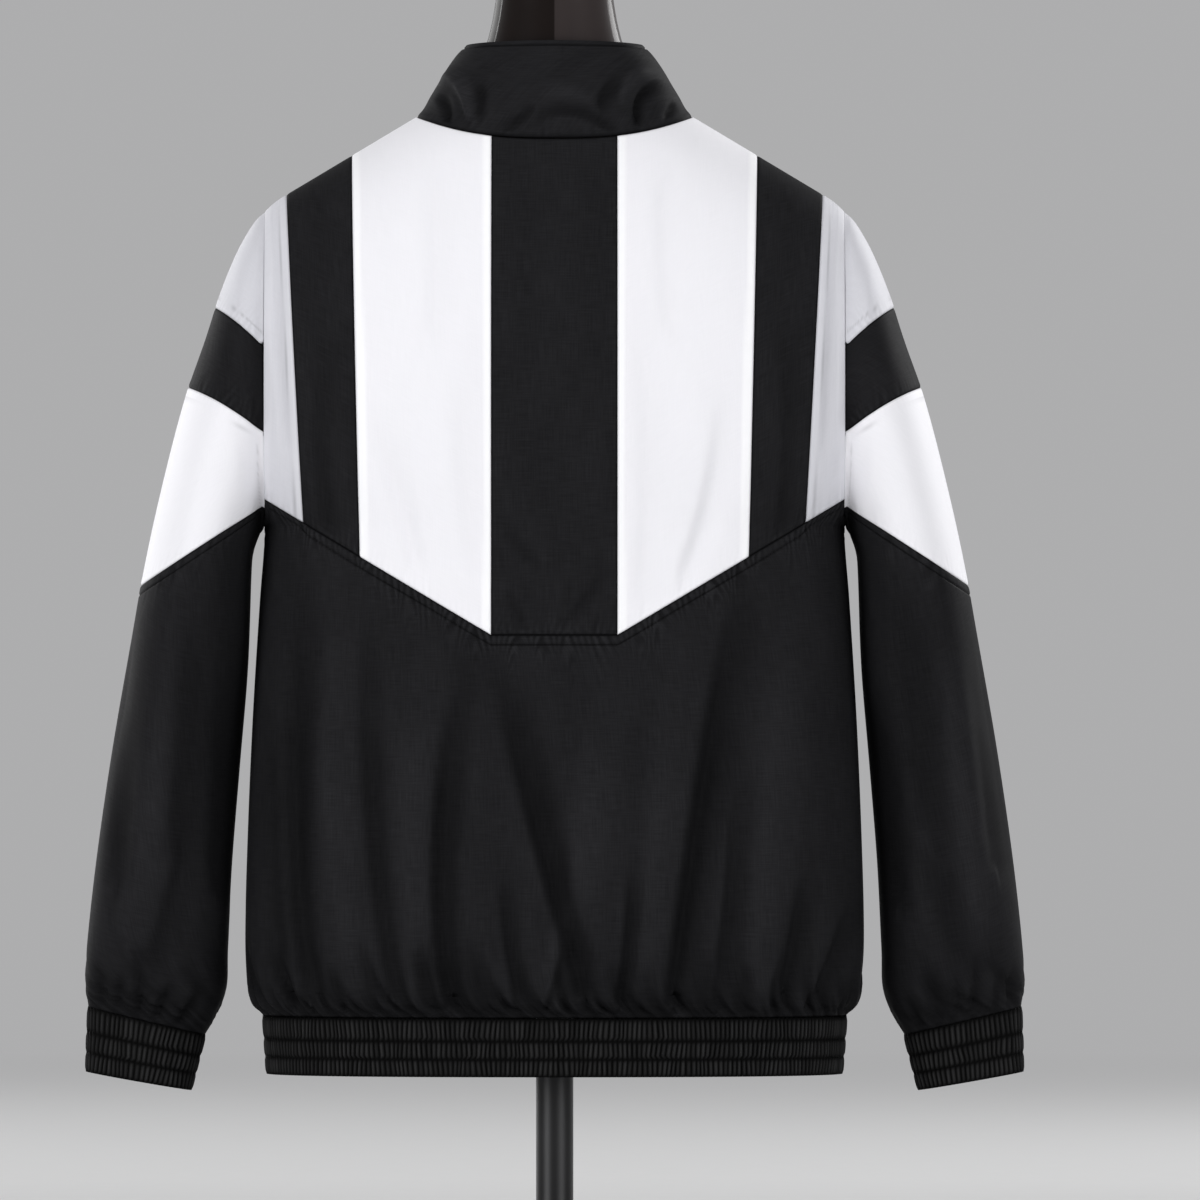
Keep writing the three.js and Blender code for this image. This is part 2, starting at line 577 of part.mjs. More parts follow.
function addBody(garment) {
  const materials = { centre: blackCloth, white: whiteCloth, black: blackCloth, grey: greyCloth };
  for (const back of [true, false]) {
    const face = back ? "back" : "front";
    stripes.forEach((stripe, i) => {
      const centreInner = { below: ZIP_GAP - SEAM / 2, above: ZIP_GAP - SEAM / 2 };
      if (back && i === 0) {
        const half = stripeColumns(stripe, { below: 0, above: 0 });
        const whole = [...half.slice(1).map((c) => ({ below: -c.below, above: -c.above })).reverse(), ...half];
        piece(garment, "back_centre", stripePatch(true, 1, whole), blackCloth);
        return;
      }
      for (const hand of [1, -1]) {
        const columns = stripeColumns(stripe, i ? stripes[i - 1] : centreInner);
        const name = face + "_" + stripe.name + (hand > 0 ? "_L" : "_R");
        piece(garment, name, stripePatch(back, hand, columns), materials[stripe.name]);
      }
    });
  }
  piece(garment, "back_lower", lowerPatch(true, [1, -1], 0), blackCloth);
  piece(garment, "front_lower_L", lowerPatch(false, [1], ZIP_GAP), blackCloth);
  piece(garment, "front_lower_R", lowerPatch(false, [-1], ZIP_GAP), blackCloth);
}

// ---- The sleeves ----

// The armhole's half depth at a height, from the body's back and front at the armhole plane.
const armholeDepth = (back, z) => bodyDepth(back, ARMHOLE_X, z);

// A point of the sleeve's outer face; turn is 0 on the outer line and runs round by the back.
function sleevePoint(at, turn) {
  const section = sample(sleeveSections, "at", at);
  const across = power(Math.cos(turn), 2 / SLEEVE_SQUARE);
  const back = Math.sin(turn) >= 0;
  const share = (1 + across) / 2;
  const x = mix(section.innerX, section.outerX, share) + SEAM;
  const z = mix(section.innerZ, section.outerZ, share);
  const round = Math.abs(Math.sin(turn)) ** (2 / SLEEVE_SQUARE);
  const likeArmhole = Math.max(0, 1 - at / 2);
  const seamZ = mix(UNDERARM_Z, SHOULDER_TIP_Z, share);
  const depth = mix(section.depth * round, armholeDepth(back, seamZ), likeArmhole);
  const fade = Math.exp(-(SLEEVE_END - at) / SLEEVE_GATHER_REACH);
  const gather = SLEEVE_GATHER_DEPTH * fade * Math.cos(10 * turn);
  const swell = 1 + gather / 40;
  const middleX = (section.innerX + section.outerX) / 2 + SEAM;
  const middleZ = (section.innerZ + section.outerZ) / 2;
  const y = section.shift + (back ? depth : -depth) * swell;
  return point(mix(middleX, x, swell), y, mix(middleZ, z, swell));
}

// How far down the sleeve, in sections, a seam or the armhole lies at a turn.
function seamAt(seam, degrees, below) {
  if (!seam || Math.abs(degrees) >= seam.angle - SEAM_ANGLE) return 0;
  const turn = radians(degrees);
  const rise = (seam.outerZ - seam.armholeZ) / (seam.outerX - ARMHOLE_X);
  const over = (at) => {
    const p = sleevePoint(at, turn);
    const share = THREE.MathUtils.clamp((p.x - ARMHOLE_X) / (seam.outerX - ARMHOLE_X), 0, 1);
    const line = seam.armholeZ + rise * (p.x - ARMHOLE_X) + seam.bow * 4 * share * (1 - share);
    return p.z - line - (below ? -SEAM : SEAM) * 0.6;
  };
  let low = 0;
  let high = SLEEVE_END;
  for (let i = 0; i < 40; i++) {
    const middle = (low + high) / 2;
    if (over(middle) > 0) low = middle;
    else high = middle;
  }
  return low;
}

// A band of the sleeve between two seams; the first starts at the armhole, the last ends in the
// cuff and is a whole tube.
function sleeveBand(hand, upper, lower, rows) {
  const limit = lower ? lower.angle : 180;
  const half = SLEEVE_ANGLES.filter((a) => a < limit);
  half.push(lower ? limit - SEAM_ANGLE : limit);
  const round = !lower;
  const angles = [...half.slice(1).map((a) => -a).reverse(), ...half];
  if (round) angles.shift();
  const limits = { u: [-2 * Math.PI, 2 * Math.PI], v: [0, SLEEVE_END] };
  const down = (turn, climb) => sleevePoint(SLEEVE_END - climb, turn);
  const outer = [];
  const normals = [];
  for (const share of rows) {
    const placed = angles.map((degrees) => {
      const top = seamAt(upper, degrees, true);
      const bottom = lower ? Math.max(top, seamAt(lower, degrees, false)) : SLEEVE_END;
      return { turn: radians(degrees), at: mix(bottom, top, share) };
    });
    outer.push(placed.map(({ turn, at }) => sleevePoint(at, turn)));
    normals.push(placed.map(({ turn, at }) => normalAt(down, turn, SLEEVE_END - at, 1e-3, limits)));
  }
  const inner = innerGrid(outer, normals, CLOTH, { foot: true, head: true, armhole: true });
  const mirrored = (grid) => grid.map((row) => row.map((p) => point(hand * p.x, p.y, p.z)));
  return wall(mirrored(outer), mirrored(inner), round);
}

// A pleated band: crests and troughs alternate round it, over a plain inside.
function shirredWall(ring, pleats, round) {
  const count = 2 * pleats;
  const turns = Array.from({ length: round ? count : count + 1 }, (_, i) => i / count);
  const outer = shirring.map(({ share, raise }) =>
    turns.map((turn, i) => ring(share, turn, i % 2 ? 0 : PLEAT_RAISE * raise)),
  );
  const inner = [0, 1].map((share) => turns.map((turn) => ring(share, turn, -DOUBLE_CLOTH)));
  return wall(outer, inner, round);
}

function cuffWall(hand) {
  const ring = (share, turn, raise) => {
    const section = sample(cuffSections, "at", share);
    const angle = 2 * Math.PI * turn;
    const middle = point((section.outerX + section.innerX) / 2 + SEAM, section.shift, (section.outerZ + section.innerZ) / 2);
    const outwards = point(section.outerX - section.innerX, 0, section.outerZ - section.innerZ);
    const half = outwards.length() / 2;
    outwards.normalize();
    const across = (half + raise) * power(Math.cos(angle), 2 / SLEEVE_SQUARE);
    const depth = (section.depth + raise) * power(Math.sin(angle), 2 / SLEEVE_SQUARE);
    const p = middle.addScaledVector(outwards, across);
    return point(hand * p.x, p.y + depth, p.z);
  };
  return shirredWall(ring, CUFF_PLEATS, true);
}

function addSleeves(garment) {
  const [greyBlack, blackWhite, whiteLower] = sleeveSeams;
  const lowerRows = [0, 0.012, 0.03, 0.06, 0.11, 0.2, 0.31, 0.43, 0.55, 0.67, 0.78, 0.88, 1];
  for (const hand of [1, -1]) {
    const side = hand > 0 ? "_L" : "_R";
    piece(garment, "sleeve_grey" + side, sleeveBand(hand, null, greyBlack, evenly(4)), greyCloth);
    piece(garment, "sleeve_black" + side, sleeveBand(hand, greyBlack, blackWhite, evenly(3)), blackCloth);
    piece(garment, "sleeve_white" + side, sleeveBand(hand, blackWhite, whiteLower, evenly(4)), whiteCloth);
    piece(garment, "sleeve_lower" + side, sleeveBand(hand, whiteLower, null, lowerRows), blackCloth);
    piece(garment, "cuff" + side, cuffWall(hand), elastic);
  }
}

// ---- Waistband and collar ----

function waistbandWall() {
  const gapAngle = Math.asin((ZIP_GAP / bandSections[1].width) ** (BODY_SQUARE / 2));
  const ring = (share, turn, raise) => {
    const section = sample(bandSections, "z", BAND_TOP * share);
    // From the zip's +X side round by the back to its -X side.
    const angle = mix(-Math.PI / 2 + gapAngle, 1.5 * Math.PI - gapAngle, turn);
    const front = Math.sin(angle) < 0;
    const x = (section.width + raise) * power(Math.cos(angle), 2 / BODY_SQUARE);
    const y = ((front ? section.front : section.back) + raise) * power(Math.sin(angle), 2 / BODY_SQUARE);
    return point(x, y, (BAND_TOP - SEAM / 2) * share);
  };
  return shirredWall(ring, BAND_PLEATS, false);
}

// The neckline's points from the zip's +X side round by the back to its -X side.
function neckPoints() {
  const quarter = [23.5, ...WHITE_TOPS.slice(0, 6)];
  const front = [ZIP_GAP, 27, ...WHITE_TOPS.slice(0, 5)];
  const back = [...quarter.slice(1).reverse(), 23.5, 0, -23.5, ...quarter.slice(1).map((x) => -x)];
  const at = (isBack) => (x) => bodyPoint(isBack, x, neckline(isBack, x));
  return [...front.map(at(false)), ...back.map(at(true)), ...front.reverse().map((x) => -x).map(at(false))];
}

function collarGrid() {
  const base = neckPoints();
  const deepest = { back: Math.max(...base.map((p) => p.y)), front: -Math.min(...base.map((p) => p.y)) };
  const rows = [base.map((p) => point(p.x, p.y, p.z + SEAM))];
  for (const row of collarRows) {
    rows.push(
      base.map((p) => {
        const face = p.y > 0 ? "back" : "front";
        const share = Math.abs(p.y) / deepest[face];
        const x = Math.abs(p.x) <= ZIP_GAP ? p.x : (p.x * row.width) / NECK_POINT_X;
        const held = Math.sign(p.x) * Math.max(Math.abs(x), p.y < 0 ? ZIP_GAP : 0);
        const z = mix(row.sideZ, row[face + "Z"], share ** 1.8);
        return point(held, (p.y * row[face]) / deepest[face], z);
      }),
    );
  }
  return rows;
}

// The inner grid of a wall, off the outer one along normals taken from the grid itself.
function insetGrid(grid, thickness) {
  return grid.map((row, r) =>
    row.map((p, c) => {
      const along = row[Math.min(c + 1, row.length - 1)].clone().sub(row[Math.max(c - 1, 0)]);
      const up = grid[Math.min(r + 1, grid.length - 1)][c].clone().sub(grid[Math.max(r - 1, 0)][c]);
      if (r === 0) up.set(0, 0, 1); // the foot of the collar stays level with the neckline's edge
      return p.clone().addScaledVector(along.cross(up).normalize(), -thickness);
    }),
  );
}

function addBands(garment) {
  piece(garment, "waistband", waistbandWall(), elastic);
  const collar = collarGrid();
  piece(garment, "collar", wall(collar, insetGrid(collar, DOUBLE_CLOTH)), blackCloth);
}

// ---- The zip ----

// The outer face of the front edges, as a distance from the side-seam plane, at a height.
function frontEdge(z) {
  if (z <= BAND_TOP) return sample(bandSections, "z", z).front;
  if (z <= NECK_FRONT_Z) return bodyDepth(false, ZIP_GAP, z);
  const foot = { frontZ: NECK_FRONT_Z, front: bodyDepth(false, ZIP_GAP, NECK_FRONT_Z) };
  return sample([foot, ...collarRows], "frontZ", z).front;
}

// One side of the zip: a tape under the front edge with the line of its teeth standing proud.
function zipTape(hand) {
  const heights = [...ZIP_STEPS, ...collarRows.map((row) => row.frontZ - SEAM)];
  const across = [
    { x: SEAM / 2, proud: ZIP_PROUD },
    { x: ZIP_TEETH, proud: ZIP_PROUD },
    { x: ZIP_TEETH + SEAM, proud: 0 },
    { x: ZIP_GAP - ZIP_CLEAR, proud: 0 },
  ];
  const row = (z, thickness) =>
    across.map(({ x, proud }) => {
      const out = frontEdge(z) - ZIP_SUNK + (thickness ? -thickness : proud);
      return point(hand * x, -out, z);
    });
  return wall(heights.map((z) => row(z, 0)), heights.map((z) => row(z, CLOTH)));
}

const corners = (points) => points.map(({ x, up }) => new THREE.Vector2(x, up));
const bothSides = (half) => [...half, ...half.map(({ x, up }) => ({ x: -x, up })).reverse()];
const rectangle = (x, [low, high]) => bothSides([{ x, up: low }, { x, up: high }]);

// A flat solid cut to an outline with one window or none, from one height to another.
function plate(outline, window, [low, high]) {
  const shape = new THREE.Shape(corners(outline));
  if (window) shape.holes.push(new THREE.Path(corners(window)));
  const depth = high - low;
  return new THREE.ExtrudeGeometry(shape, { depth, bevelEnabled: false }).translate(0, 0, low);
}

// One solid from several that overlap.
function joined(geometries) {
  const solids = geometries.map((geometry) => {
    const vertProperties = new Float32Array(geometry.attributes.position.array);
    const count = vertProperties.length / 3;
    const triVerts = geometry.index
      ? new Uint32Array(geometry.index.array)
      : Uint32Array.from({ length: count }, (_, i) => i);
    const mesh = new wasm.Mesh({ numProp: 3, vertProperties, triVerts });
    mesh.merge();
    return new wasm.Manifold(mesh);
  });
  const { vertProperties, triVerts, numProp } = wasm.Manifold.union(solids).getMesh();
  const corner = (i) => point(...vertProperties.slice(i * numProp, i * numProp + 3));
  const triangles = [];
  for (let i = 0; i < triVerts.length; i += 3) {
    triangles.push([corner(triVerts[i]), corner(triVerts[i + 1]), corner(triVerts[i + 2])]);
  }
  return closed(triangles);
}

// The slider and its pull, in their own frame: x across, y up along the zip, z out from its tape.
function addZip(garment) {
  piece(garment, "zip_tape_L", zipTape(1), zipPlastic);
  piece(garment, "zip_tape_R", zipTape(-1), zipPlastic);

  // The bail is an arch over the plate, cut from a bar that lies across the zip.
  const plateFoot = ZIP_PROUD + SEAM;
  const plateTop = plateFoot + slider.thick;
  const roof = plateTop + slider.tunnelHigh;
  const reach = slider.tunnelLong / 2;
  const bail = plate(
    rectangle(reach + slider.bailThick, [plateTop - SEAM, roof + slider.bailThick]),
    rectangle(reach, [plateTop - SEAM / 2, roof]),
    [-slider.bailWidth / 2, slider.bailWidth / 2],
  );
  bail.rotateX(Math.PI / 2).rotateZ(Math.PI / 2);
  const body = joined([plate(bothSides(slider.outline), null, [plateFoot, plateTop]), bail]);

  // The pull hangs on the strip above its window, which passes under the bail.
  const axle = plateTop + slider.tunnelHigh / 2;
  const half = pull.thick / 2;
  const handle = plate(
    bothSides([{ x: pull.armOut, up: half }, ...pull.outline]),
    rectangle(pull.armIn, [-pull.slot, -half]),
    [axle - half, axle + half],
  );

  // Stand both on the zip, square to the slope of the collar.
  const lean = Math.atan((frontEdge(slider.z + 1) - frontEdge(slider.z - 1)) / 2);
  for (const [name, geometry] of [["zip_slider", body], ["zip_pull", handle]]) {
    const mesh = piece(garment, name, geometry, zipMetal);
    mesh.rotation.x = Math.PI / 2 + lean;
    mesh.position.set(0, -(frontEdge(slider.z) - ZIP_SUNK), slider.z);
  }
}

// ---- The dress form and its stand ----

// Half the form's width at a height on its shoulders, just under the cloth's shoulder line.
function formWidthAt(z) {
  const clothBelow = CLOTH / Math.cos(Math.atan(SHOULDER_SLOPE));
  return NECK_POINT_X + (NECK_POINT_Z - z - clothBelow - REST_GAP) / SHOULDER_SLOPE;
}

function formSolid() {
  const rings = formSections.map((section) =>
    Array.from({ length: FORM_SIDES }, (_, i) => {
      const angle = (2 * Math.PI * i) / FORM_SIDES;
      const depth = Math.sin(angle) > 0 ? section.back : section.front;
      const x = section.width * power(Math.cos(angle), 2 / section.square);
      return point(x, depth * power(Math.sin(angle), 2 / section.square), section.z);
    }),
  );
  return skin(rings);
}

// A turned solid from its outline on one side of the axis, from its foot up.
function turned(outline, sides) {
  const around = Array.from({ length: sides }, (_, i) => (2 * Math.PI * i) / sides);
  const ring = ({ radius, z }) =>
    around.map((angle) => point(radius * Math.cos(angle), radius * Math.sin(angle), z));
  return skin(outline.map(ring));
}

function addStand(root) {
  const base = [
    { radius: BASE_RADIUS, z: 0 },
    { radius: BASE_RADIUS, z: BASE_THICK - BASE_BEVEL },
    { radius: BASE_RADIUS - BASE_BEVEL, z: BASE_THICK },
  ];
  const foot = BASE_THICK + SEAM;
  const head = HEM_HEIGHT + formSections[0].z - SEAM;
  const pole = [
    { radius: FOOT_RADIUS, z: foot },
    { radius: FOOT_RADIUS, z: foot + FLANGE_THICK },
    { radius: POLE_RADIUS, z: foot + 2 * FLANGE_THICK },
    { radius: POLE_RADIUS, z: head - 2 * FLANGE_THICK },
    { radius: FLANGE_RADIUS, z: head - FLANGE_THICK },
    { radius: FLANGE_RADIUS, z: head },
  ];
  piece(root, "stand_base", turned(base, 48), blackSteel);
  piece(root, "stand_pole", turned(pole, 24), blackSteel);
}

// ---- The model ----
const windbreaker = new THREE.Group();
const garment = new THREE.Group();
garment.position.z = HEM_HEIGHT;
windbreaker.add(garment);

addBody(garment);
addSleeves(garment);
addBands(garment);
addZip(garment);
piece(garment, "dress_form", formSolid(), lacquer);
addStand(windbreaker);

export default windbreaker;
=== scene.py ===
"""Windbreaker on a dress form: its cloth, trims and sewing, the form and stand, and a plain studio.

Lengths in the tables are millimetres, and heights in the garment are counted from the hem's edge.
"""

import math
import random

import bmesh
import bpy
import numpy as np
from bpy.props import FloatProperty, FloatVectorProperty, IntProperty, PointerProperty
from mathutils import Matrix, Vector


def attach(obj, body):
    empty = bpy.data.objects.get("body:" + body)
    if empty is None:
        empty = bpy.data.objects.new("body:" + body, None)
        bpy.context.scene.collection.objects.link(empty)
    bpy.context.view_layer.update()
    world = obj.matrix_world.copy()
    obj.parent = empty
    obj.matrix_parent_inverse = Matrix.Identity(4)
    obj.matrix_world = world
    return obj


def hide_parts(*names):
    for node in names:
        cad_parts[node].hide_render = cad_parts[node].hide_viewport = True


bl_info = {
    "name": "Windbreaker on a dress form",
    "version": (1, 0, 0),
    "blender": (4, 5, 0),
    "location": "View3D > Sidebar > Windbreaker",
    "description": "Builds a colour-blocked windbreaker, its dress form and a plain studio",
    "category": "Object",
}

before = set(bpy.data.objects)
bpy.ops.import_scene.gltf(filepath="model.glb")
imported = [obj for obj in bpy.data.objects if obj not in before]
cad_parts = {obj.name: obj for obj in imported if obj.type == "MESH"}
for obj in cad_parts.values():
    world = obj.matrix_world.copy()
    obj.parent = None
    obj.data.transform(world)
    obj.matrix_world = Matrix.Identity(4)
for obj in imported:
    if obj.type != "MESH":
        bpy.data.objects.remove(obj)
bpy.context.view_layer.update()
JACKET = "jacket_and_form"
PULL = "zip_pull_tab"
MM = 0.001

# ---- Sizes of the cut ----
HEM_HEIGHT = 120  # the hem's edge over the floor
BAND_TOP = 43
UNDERARM_Z = 410
ARMHOLE_X = 217
ARMHOLE_FLARE = 35
ARMHOLE_RISE = 45
BODY_SQUARE = 2.4
SHOULDER_START_Z = 430
NECK_POINT_X = 104
NECK_POINT_Z = 717
SHOULDER_SLOPE = 0.598
SHOULDER_EASE = 0.18  # how much the shoulder line levels off towards the middle of the neck
SHOULDER_BEND_X = 204
SHOULDER_TIP_Z = 646.5
NECK_BACK_Z = 699.5
NECK_BACK_CURVE = 2.6
NECK_FRONT_Z = 655
NECK_FRONT_CURVE = 2.2
ZIP_GAP = 7
YOKE_MIDDLE_Z = 329
YOKE_ARMHOLE_Z = 430
SLEEVE_SQUARE = 2.15
SLEEVE_END = 13
SEAM_HALVINGS = 36  # steps that narrow down where a sleeve's seam lies
FOLD_SHADE_HALF = 1.5  # painted shade: a trough this deep is painted half as dark as the deepest
PLAY = 0.05  # half the gap that is left between sewn pieces, so that none share a face
CURVE_POINTS = 800  # points that the length of a curve is measured on
ROUND_STEPS = 96  # facets round a turned piece
WELD = 1e-6  # vertices this near each other, in metres, are one


def table(names, rows):
    """Rows of numbers as one array for each named column."""
    columns = names.split()
    return {name: np.array([row[i] for row in rows], float) for i, name in enumerate(columns)}


BODY_SECTIONS = table(
    "z width back front",
    [
        (43, 220.5, 111, 115),
        (52, 226, 116, 120),
        (70, 230.5, 121, 125),
        (105, 232, 123, 127),
        (175, 230.3, 121.5, 126),
        (265, 226.5, 118.5, 125),
        (355, 221, 117.5, 125),
        (410, 217, 118.5, 125),
        (480, 217, 119.5, 123),
        (560, 217, 117, 118),
        (720, 217, 114, 112),
    ],
)
SLEEVE_SECTIONS = table(
    "at outer_x outer_z inner_x inner_z depth shift",
    [
        (0, 217, 646.5, 217, 410, 67, 0),
        (1, 225, 638.5, 218.5, 407.5, 70, 0),
        (2, 237.5, 617, 220, 405, 73, 0),
        (3, 250, 587, 221.5, 402, 76, -1),
        (4, 262, 550, 223, 398.5, 78, -1),
        (5, 277.5, 505, 225, 393, 79, -2),
        (6, 292, 450, 226.5, 386, 79, -3),
        (7, 306, 388, 227.5, 368, 78, -4),
        (8, 319, 317, 230, 303, 75, -6),
        (9, 332, 242, 236, 231, 70, -8),
        (10, 343, 167, 242, 156, 64, -10),
        (11, 350, 107, 245, 95, 57, -12),
        (12, 352.5, 74, 247, 60, 46, -13),
        (13, 350.5, 49.5, 262, 28.5, 25, -14),
    ],
)
# The stripes of the back and the fronts from the middle out, by where their outer seams lie on the
# yoke seam and at the shoulder.
STRIPES = (("centre", 47, 47), ("white", 145, 152), ("black", 187.5, 201), ("grey", 217, 217))
# The sleeve's seams: x and z at the outer line, the height at the armhole, the degrees round the
# sleeve at which each meets the armhole, and how far it bows up.
SLEEVE_SEAMS = (
    (254.6, 574, 544.5, 82, 2),
    (274, 514, 480, 114, 3),
    (310, 366, 425, 151, 0),
)


def sample(rows, by, value):
    """Every column of a table where one of them has these values, on smooth curves."""
    keys = rows[by]
    last = len(keys) - 1
    wanted = np.clip(value, keys[0], keys[last])
    i = np.clip(np.searchsorted(keys, wanted, side="right") - 1, 0, last - 1)
    span = keys[i + 1] - keys[i]
    t = (wanted - keys[i]) / span
    before, after, beyond = np.maximum(i - 1, 0), np.minimum(i + 1, last), np.minimum(i + 2, last)
    found = {}
    for name, column in rows.items():
        rise = column[i + 1] - column[i]
        start = (column[after] - column[before]) / (keys[after] - keys[before]) * span
        end = (column[beyond] - column[i]) / (keys[beyond] - keys[i]) * span
        bend = start + end - 2 * rise
        found[name] = column[i] + start * t + (3 * rise - 2 * start - end) * t**2 + bend * t**3
    return found


def mix(a, b, share):
    """From a to b by a share."""
    return a + (b - a) * share


def power(base, exponent):
    """A power that keeps its base's sign."""
    return np.sign(base) * np.abs(base) ** exponent


def smooth(low, high, value):
    """A soft step from 0 at low to 1 at high."""
    t = np.clip((value - low) / (high - low), 0, 1)
    return t * t * (3 - 2 * t)


# ---- The body's surface ----


def shoulder_line(x):
    across = np.abs(x)
    inside = (NECK_POINT_X - across) / NECK_POINT_X
    ridge = NECK_POINT_Z + SHOULDER_SLOPE * NECK_POINT_X * (inside - SHOULDER_EASE * inside**2)
    past = np.maximum(0, across - SHOULDER_BEND_X) / (ARMHOLE_X - SHOULDER_BEND_X)
    bend = NECK_POINT_Z - SHOULDER_SLOPE * (ARMHOLE_X - NECK_POINT_X) - SHOULDER_TIP_Z
    slope = NECK_POINT_Z - SHOULDER_SLOPE * (across - NECK_POINT_X) - bend * past**2
    return np.where(across < NECK_POINT_X, ridge, slope)


def neckline(back, x):
    share = np.abs(x) / NECK_POINT_X
    low, curve = (NECK_BACK_Z, NECK_BACK_CURVE) if back else (NECK_FRONT_Z, NECK_FRONT_CURVE)
    return mix(low, NECK_POINT_Z, share**curve)


def yoke_seam(x):
    middle = STRIPES[0][1]
    rise = (YOKE_ARMHOLE_Z - YOKE_MIDDLE_Z) / (ARMHOLE_X - middle)
    return YOKE_MIDDLE_Z + np.maximum(0, np.abs(x) - middle) * rise


def body_width(z):
    below = sample(BODY_SECTIONS, "z", z)["width"]
    short = UNDERARM_Z - np.maximum(z, UNDERARM_Z)
    above = ARMHOLE_X + ARMHOLE_FLARE * (1 - np.exp(short / ARMHOLE_RISE))
    return np.where(z <= UNDERARM_Z, below, above)


def body_point(back, x, z):
    """A point of the smooth body, with no folds."""
    section = sample(BODY_SECTIONS, "z", z)
    across = np.minimum(1, np.abs(x) / body_width(z))
    lateral = (1 - across**BODY_SQUARE) ** (1 / BODY_SQUARE)
    climb = np.maximum(0, (z - SHOULDER_START_Z) / (shoulder_line(x) - SHOULDER_START_Z))
    roundness = 2 + np.abs(x) / ARMHOLE_X
    closing = np.sqrt(np.maximum(0, 1 - climb**roundness))
    depth = section["back" if back else "front"] * lateral * closing + PLAY
    return np.stack([x, depth if back else -depth, z], -1)


def angle_at(x, z):
    share = np.minimum(1, np.abs(x) / body_width(z))
    return np.arcsin(share ** (BODY_SQUARE / 2)) * np.sign(x)


def across_at(angle, z):
    return body_width(z) * power(np.sin(angle), 2 / BODY_SQUARE)


# ---- The sleeve's surface ----


def sleeve_point(at, turn):
    """A point of the smooth sleeve on the +X side; turn is 0 on its outer line."""
    section = sample(SLEEVE_SECTIONS, "at", at)
    share = (1 + power(np.cos(turn), 2 / SLEEVE_SQUARE)) / 2
    behind = np.sin(turn) >= 0
    x = mix(section["inner_x"], section["outer_x"], share) + 2 * PLAY
    z = mix(section["inner_z"], section["outer_z"], share)
    seam_z = mix(UNDERARM_Z, SHOULDER_TIP_Z, share)
    armhole_x = np.full_like(seam_z, ARMHOLE_X)
    back, front = (np.abs(body_point(side, armhole_x, seam_z)[..., 1]) for side in (True, False))
    body = np.where(behind, back, front)
    like_armhole = np.maximum(0, 1 - at / 2)
    own = section["depth"] * np.abs(np.sin(turn)) ** (2 / SLEEVE_SQUARE)
    depth = mix(own, body - PLAY, like_armhole)
    return np.stack([x, section["shift"] + np.where(behind, depth, -depth), z], -1)


def seam_at(seam, degrees):
    """How far down the sleeve a seam lies at each turn, in sections."""
    outer_x, outer_z, armhole_z, limit, bow = seam
    turn = np.radians(degrees)
    low, high = np.zeros_like(turn), np.full_like(turn, SLEEVE_END)
    rise = (outer_z - armhole_z) / (outer_x - ARMHOLE_X)
    for _ in range(SEAM_HALVINGS):
        middle = (low + high) / 2
        p = sleeve_point(middle, turn)
        share = np.clip((p[..., 0] - ARMHOLE_X) / (outer_x - ARMHOLE_X), 0, 1)
        line = armhole_z + rise * (p[..., 0] - ARMHOLE_X) + bow * 4 * share * (1 - share)
        over = p[..., 2] > line
        low, high = np.where(over, middle, low), np.where(over, high, middle)
    return np.where(np.abs(degrees) >= limit, 0, low)


# ---- Grids of points, and what is done to them ----


def spaced(length, step, finest=None, edge=0):
    """Places from 0 to 1 along a length, a step apart, and finer within edge of both ends."""
    if not finest:
        return np.linspace(0, 1, max(2, round(length / step)) + 1)
    fine = np.arange(0, edge, finest)
    middle = np.linspace(edge, length - edge, max(2, round((length - 2 * edge) / step)) + 1)
    return np.concatenate([fine, middle, length - fine[::-1]]) / length


def evened(point_of, low, high, step, finest=None, edge=0):
    """Values of a parameter that put points an even step apart along a curve."""
    fine = np.linspace(low, high, CURVE_POINTS)
    run = run_along(point_of(fine), 0)
    return np.interp(spaced(run[-1], step, finest, edge) * run[-1], run, fine)


def normals_of(grid, round_about=False):
    """Outward normals of a grid of points whose columns run counterclockwise and rows upward."""
    if round_about:
        wide = np.concatenate([grid[:, -2:-1], grid, grid[:, 1:2]], 1)
        along = wide[:, 2:] - wide[:, :-2]
    else:
        along = np.gradient(grid, axis=1)
    normal = np.cross(along, np.gradient(grid, axis=0))
    length = np.linalg.norm(normal, axis=-1, keepdims=True)
    return normal / np.maximum(length, 1e-9)


def run_along(grid, axis):
    """Length along the rows or columns of a grid from their start."""
    step = np.linalg.norm(np.diff(grid, axis=axis), axis=-1)
    start = np.zeros_like(np.take(step, [0], axis=axis))
    return np.concatenate([start, np.cumsum(step, axis=axis)], axis=axis)


KNOTS = 4096
FIRST_KNOT = 7.3  # off a whole number, so that a line's start is no special place


def wander(seed, place, pitch):
    """Smooth repeatable noise along a line, from -1 to 1, about one wave in two pitches."""
    knots = np.random.RandomState(seed).uniform(-1, 1, KNOTS)
    t = place / pitch + FIRST_KNOT
    i = np.floor(t).astype(int)
    f = t - i
    return mix(knots[i % KNOTS], knots[(i + 1) % KNOTS], f * f * (3 - 2 * f))


# ---- Creases and cloth ----

CREASE = "from_x from_z by_x by_z to_x to_z reach depth"
CREASE_POINTS = 25
CREASE_EDGE = 5  # reaches from its line at which a crease has died out
STEEP, GENTLE = 0.75, 1.5  # the two sides of a crease, as shares of its reach
# How far from the line between back and front, the foot and the head creases have their full depth.
CREASES_FULL = (22, 7, 14)


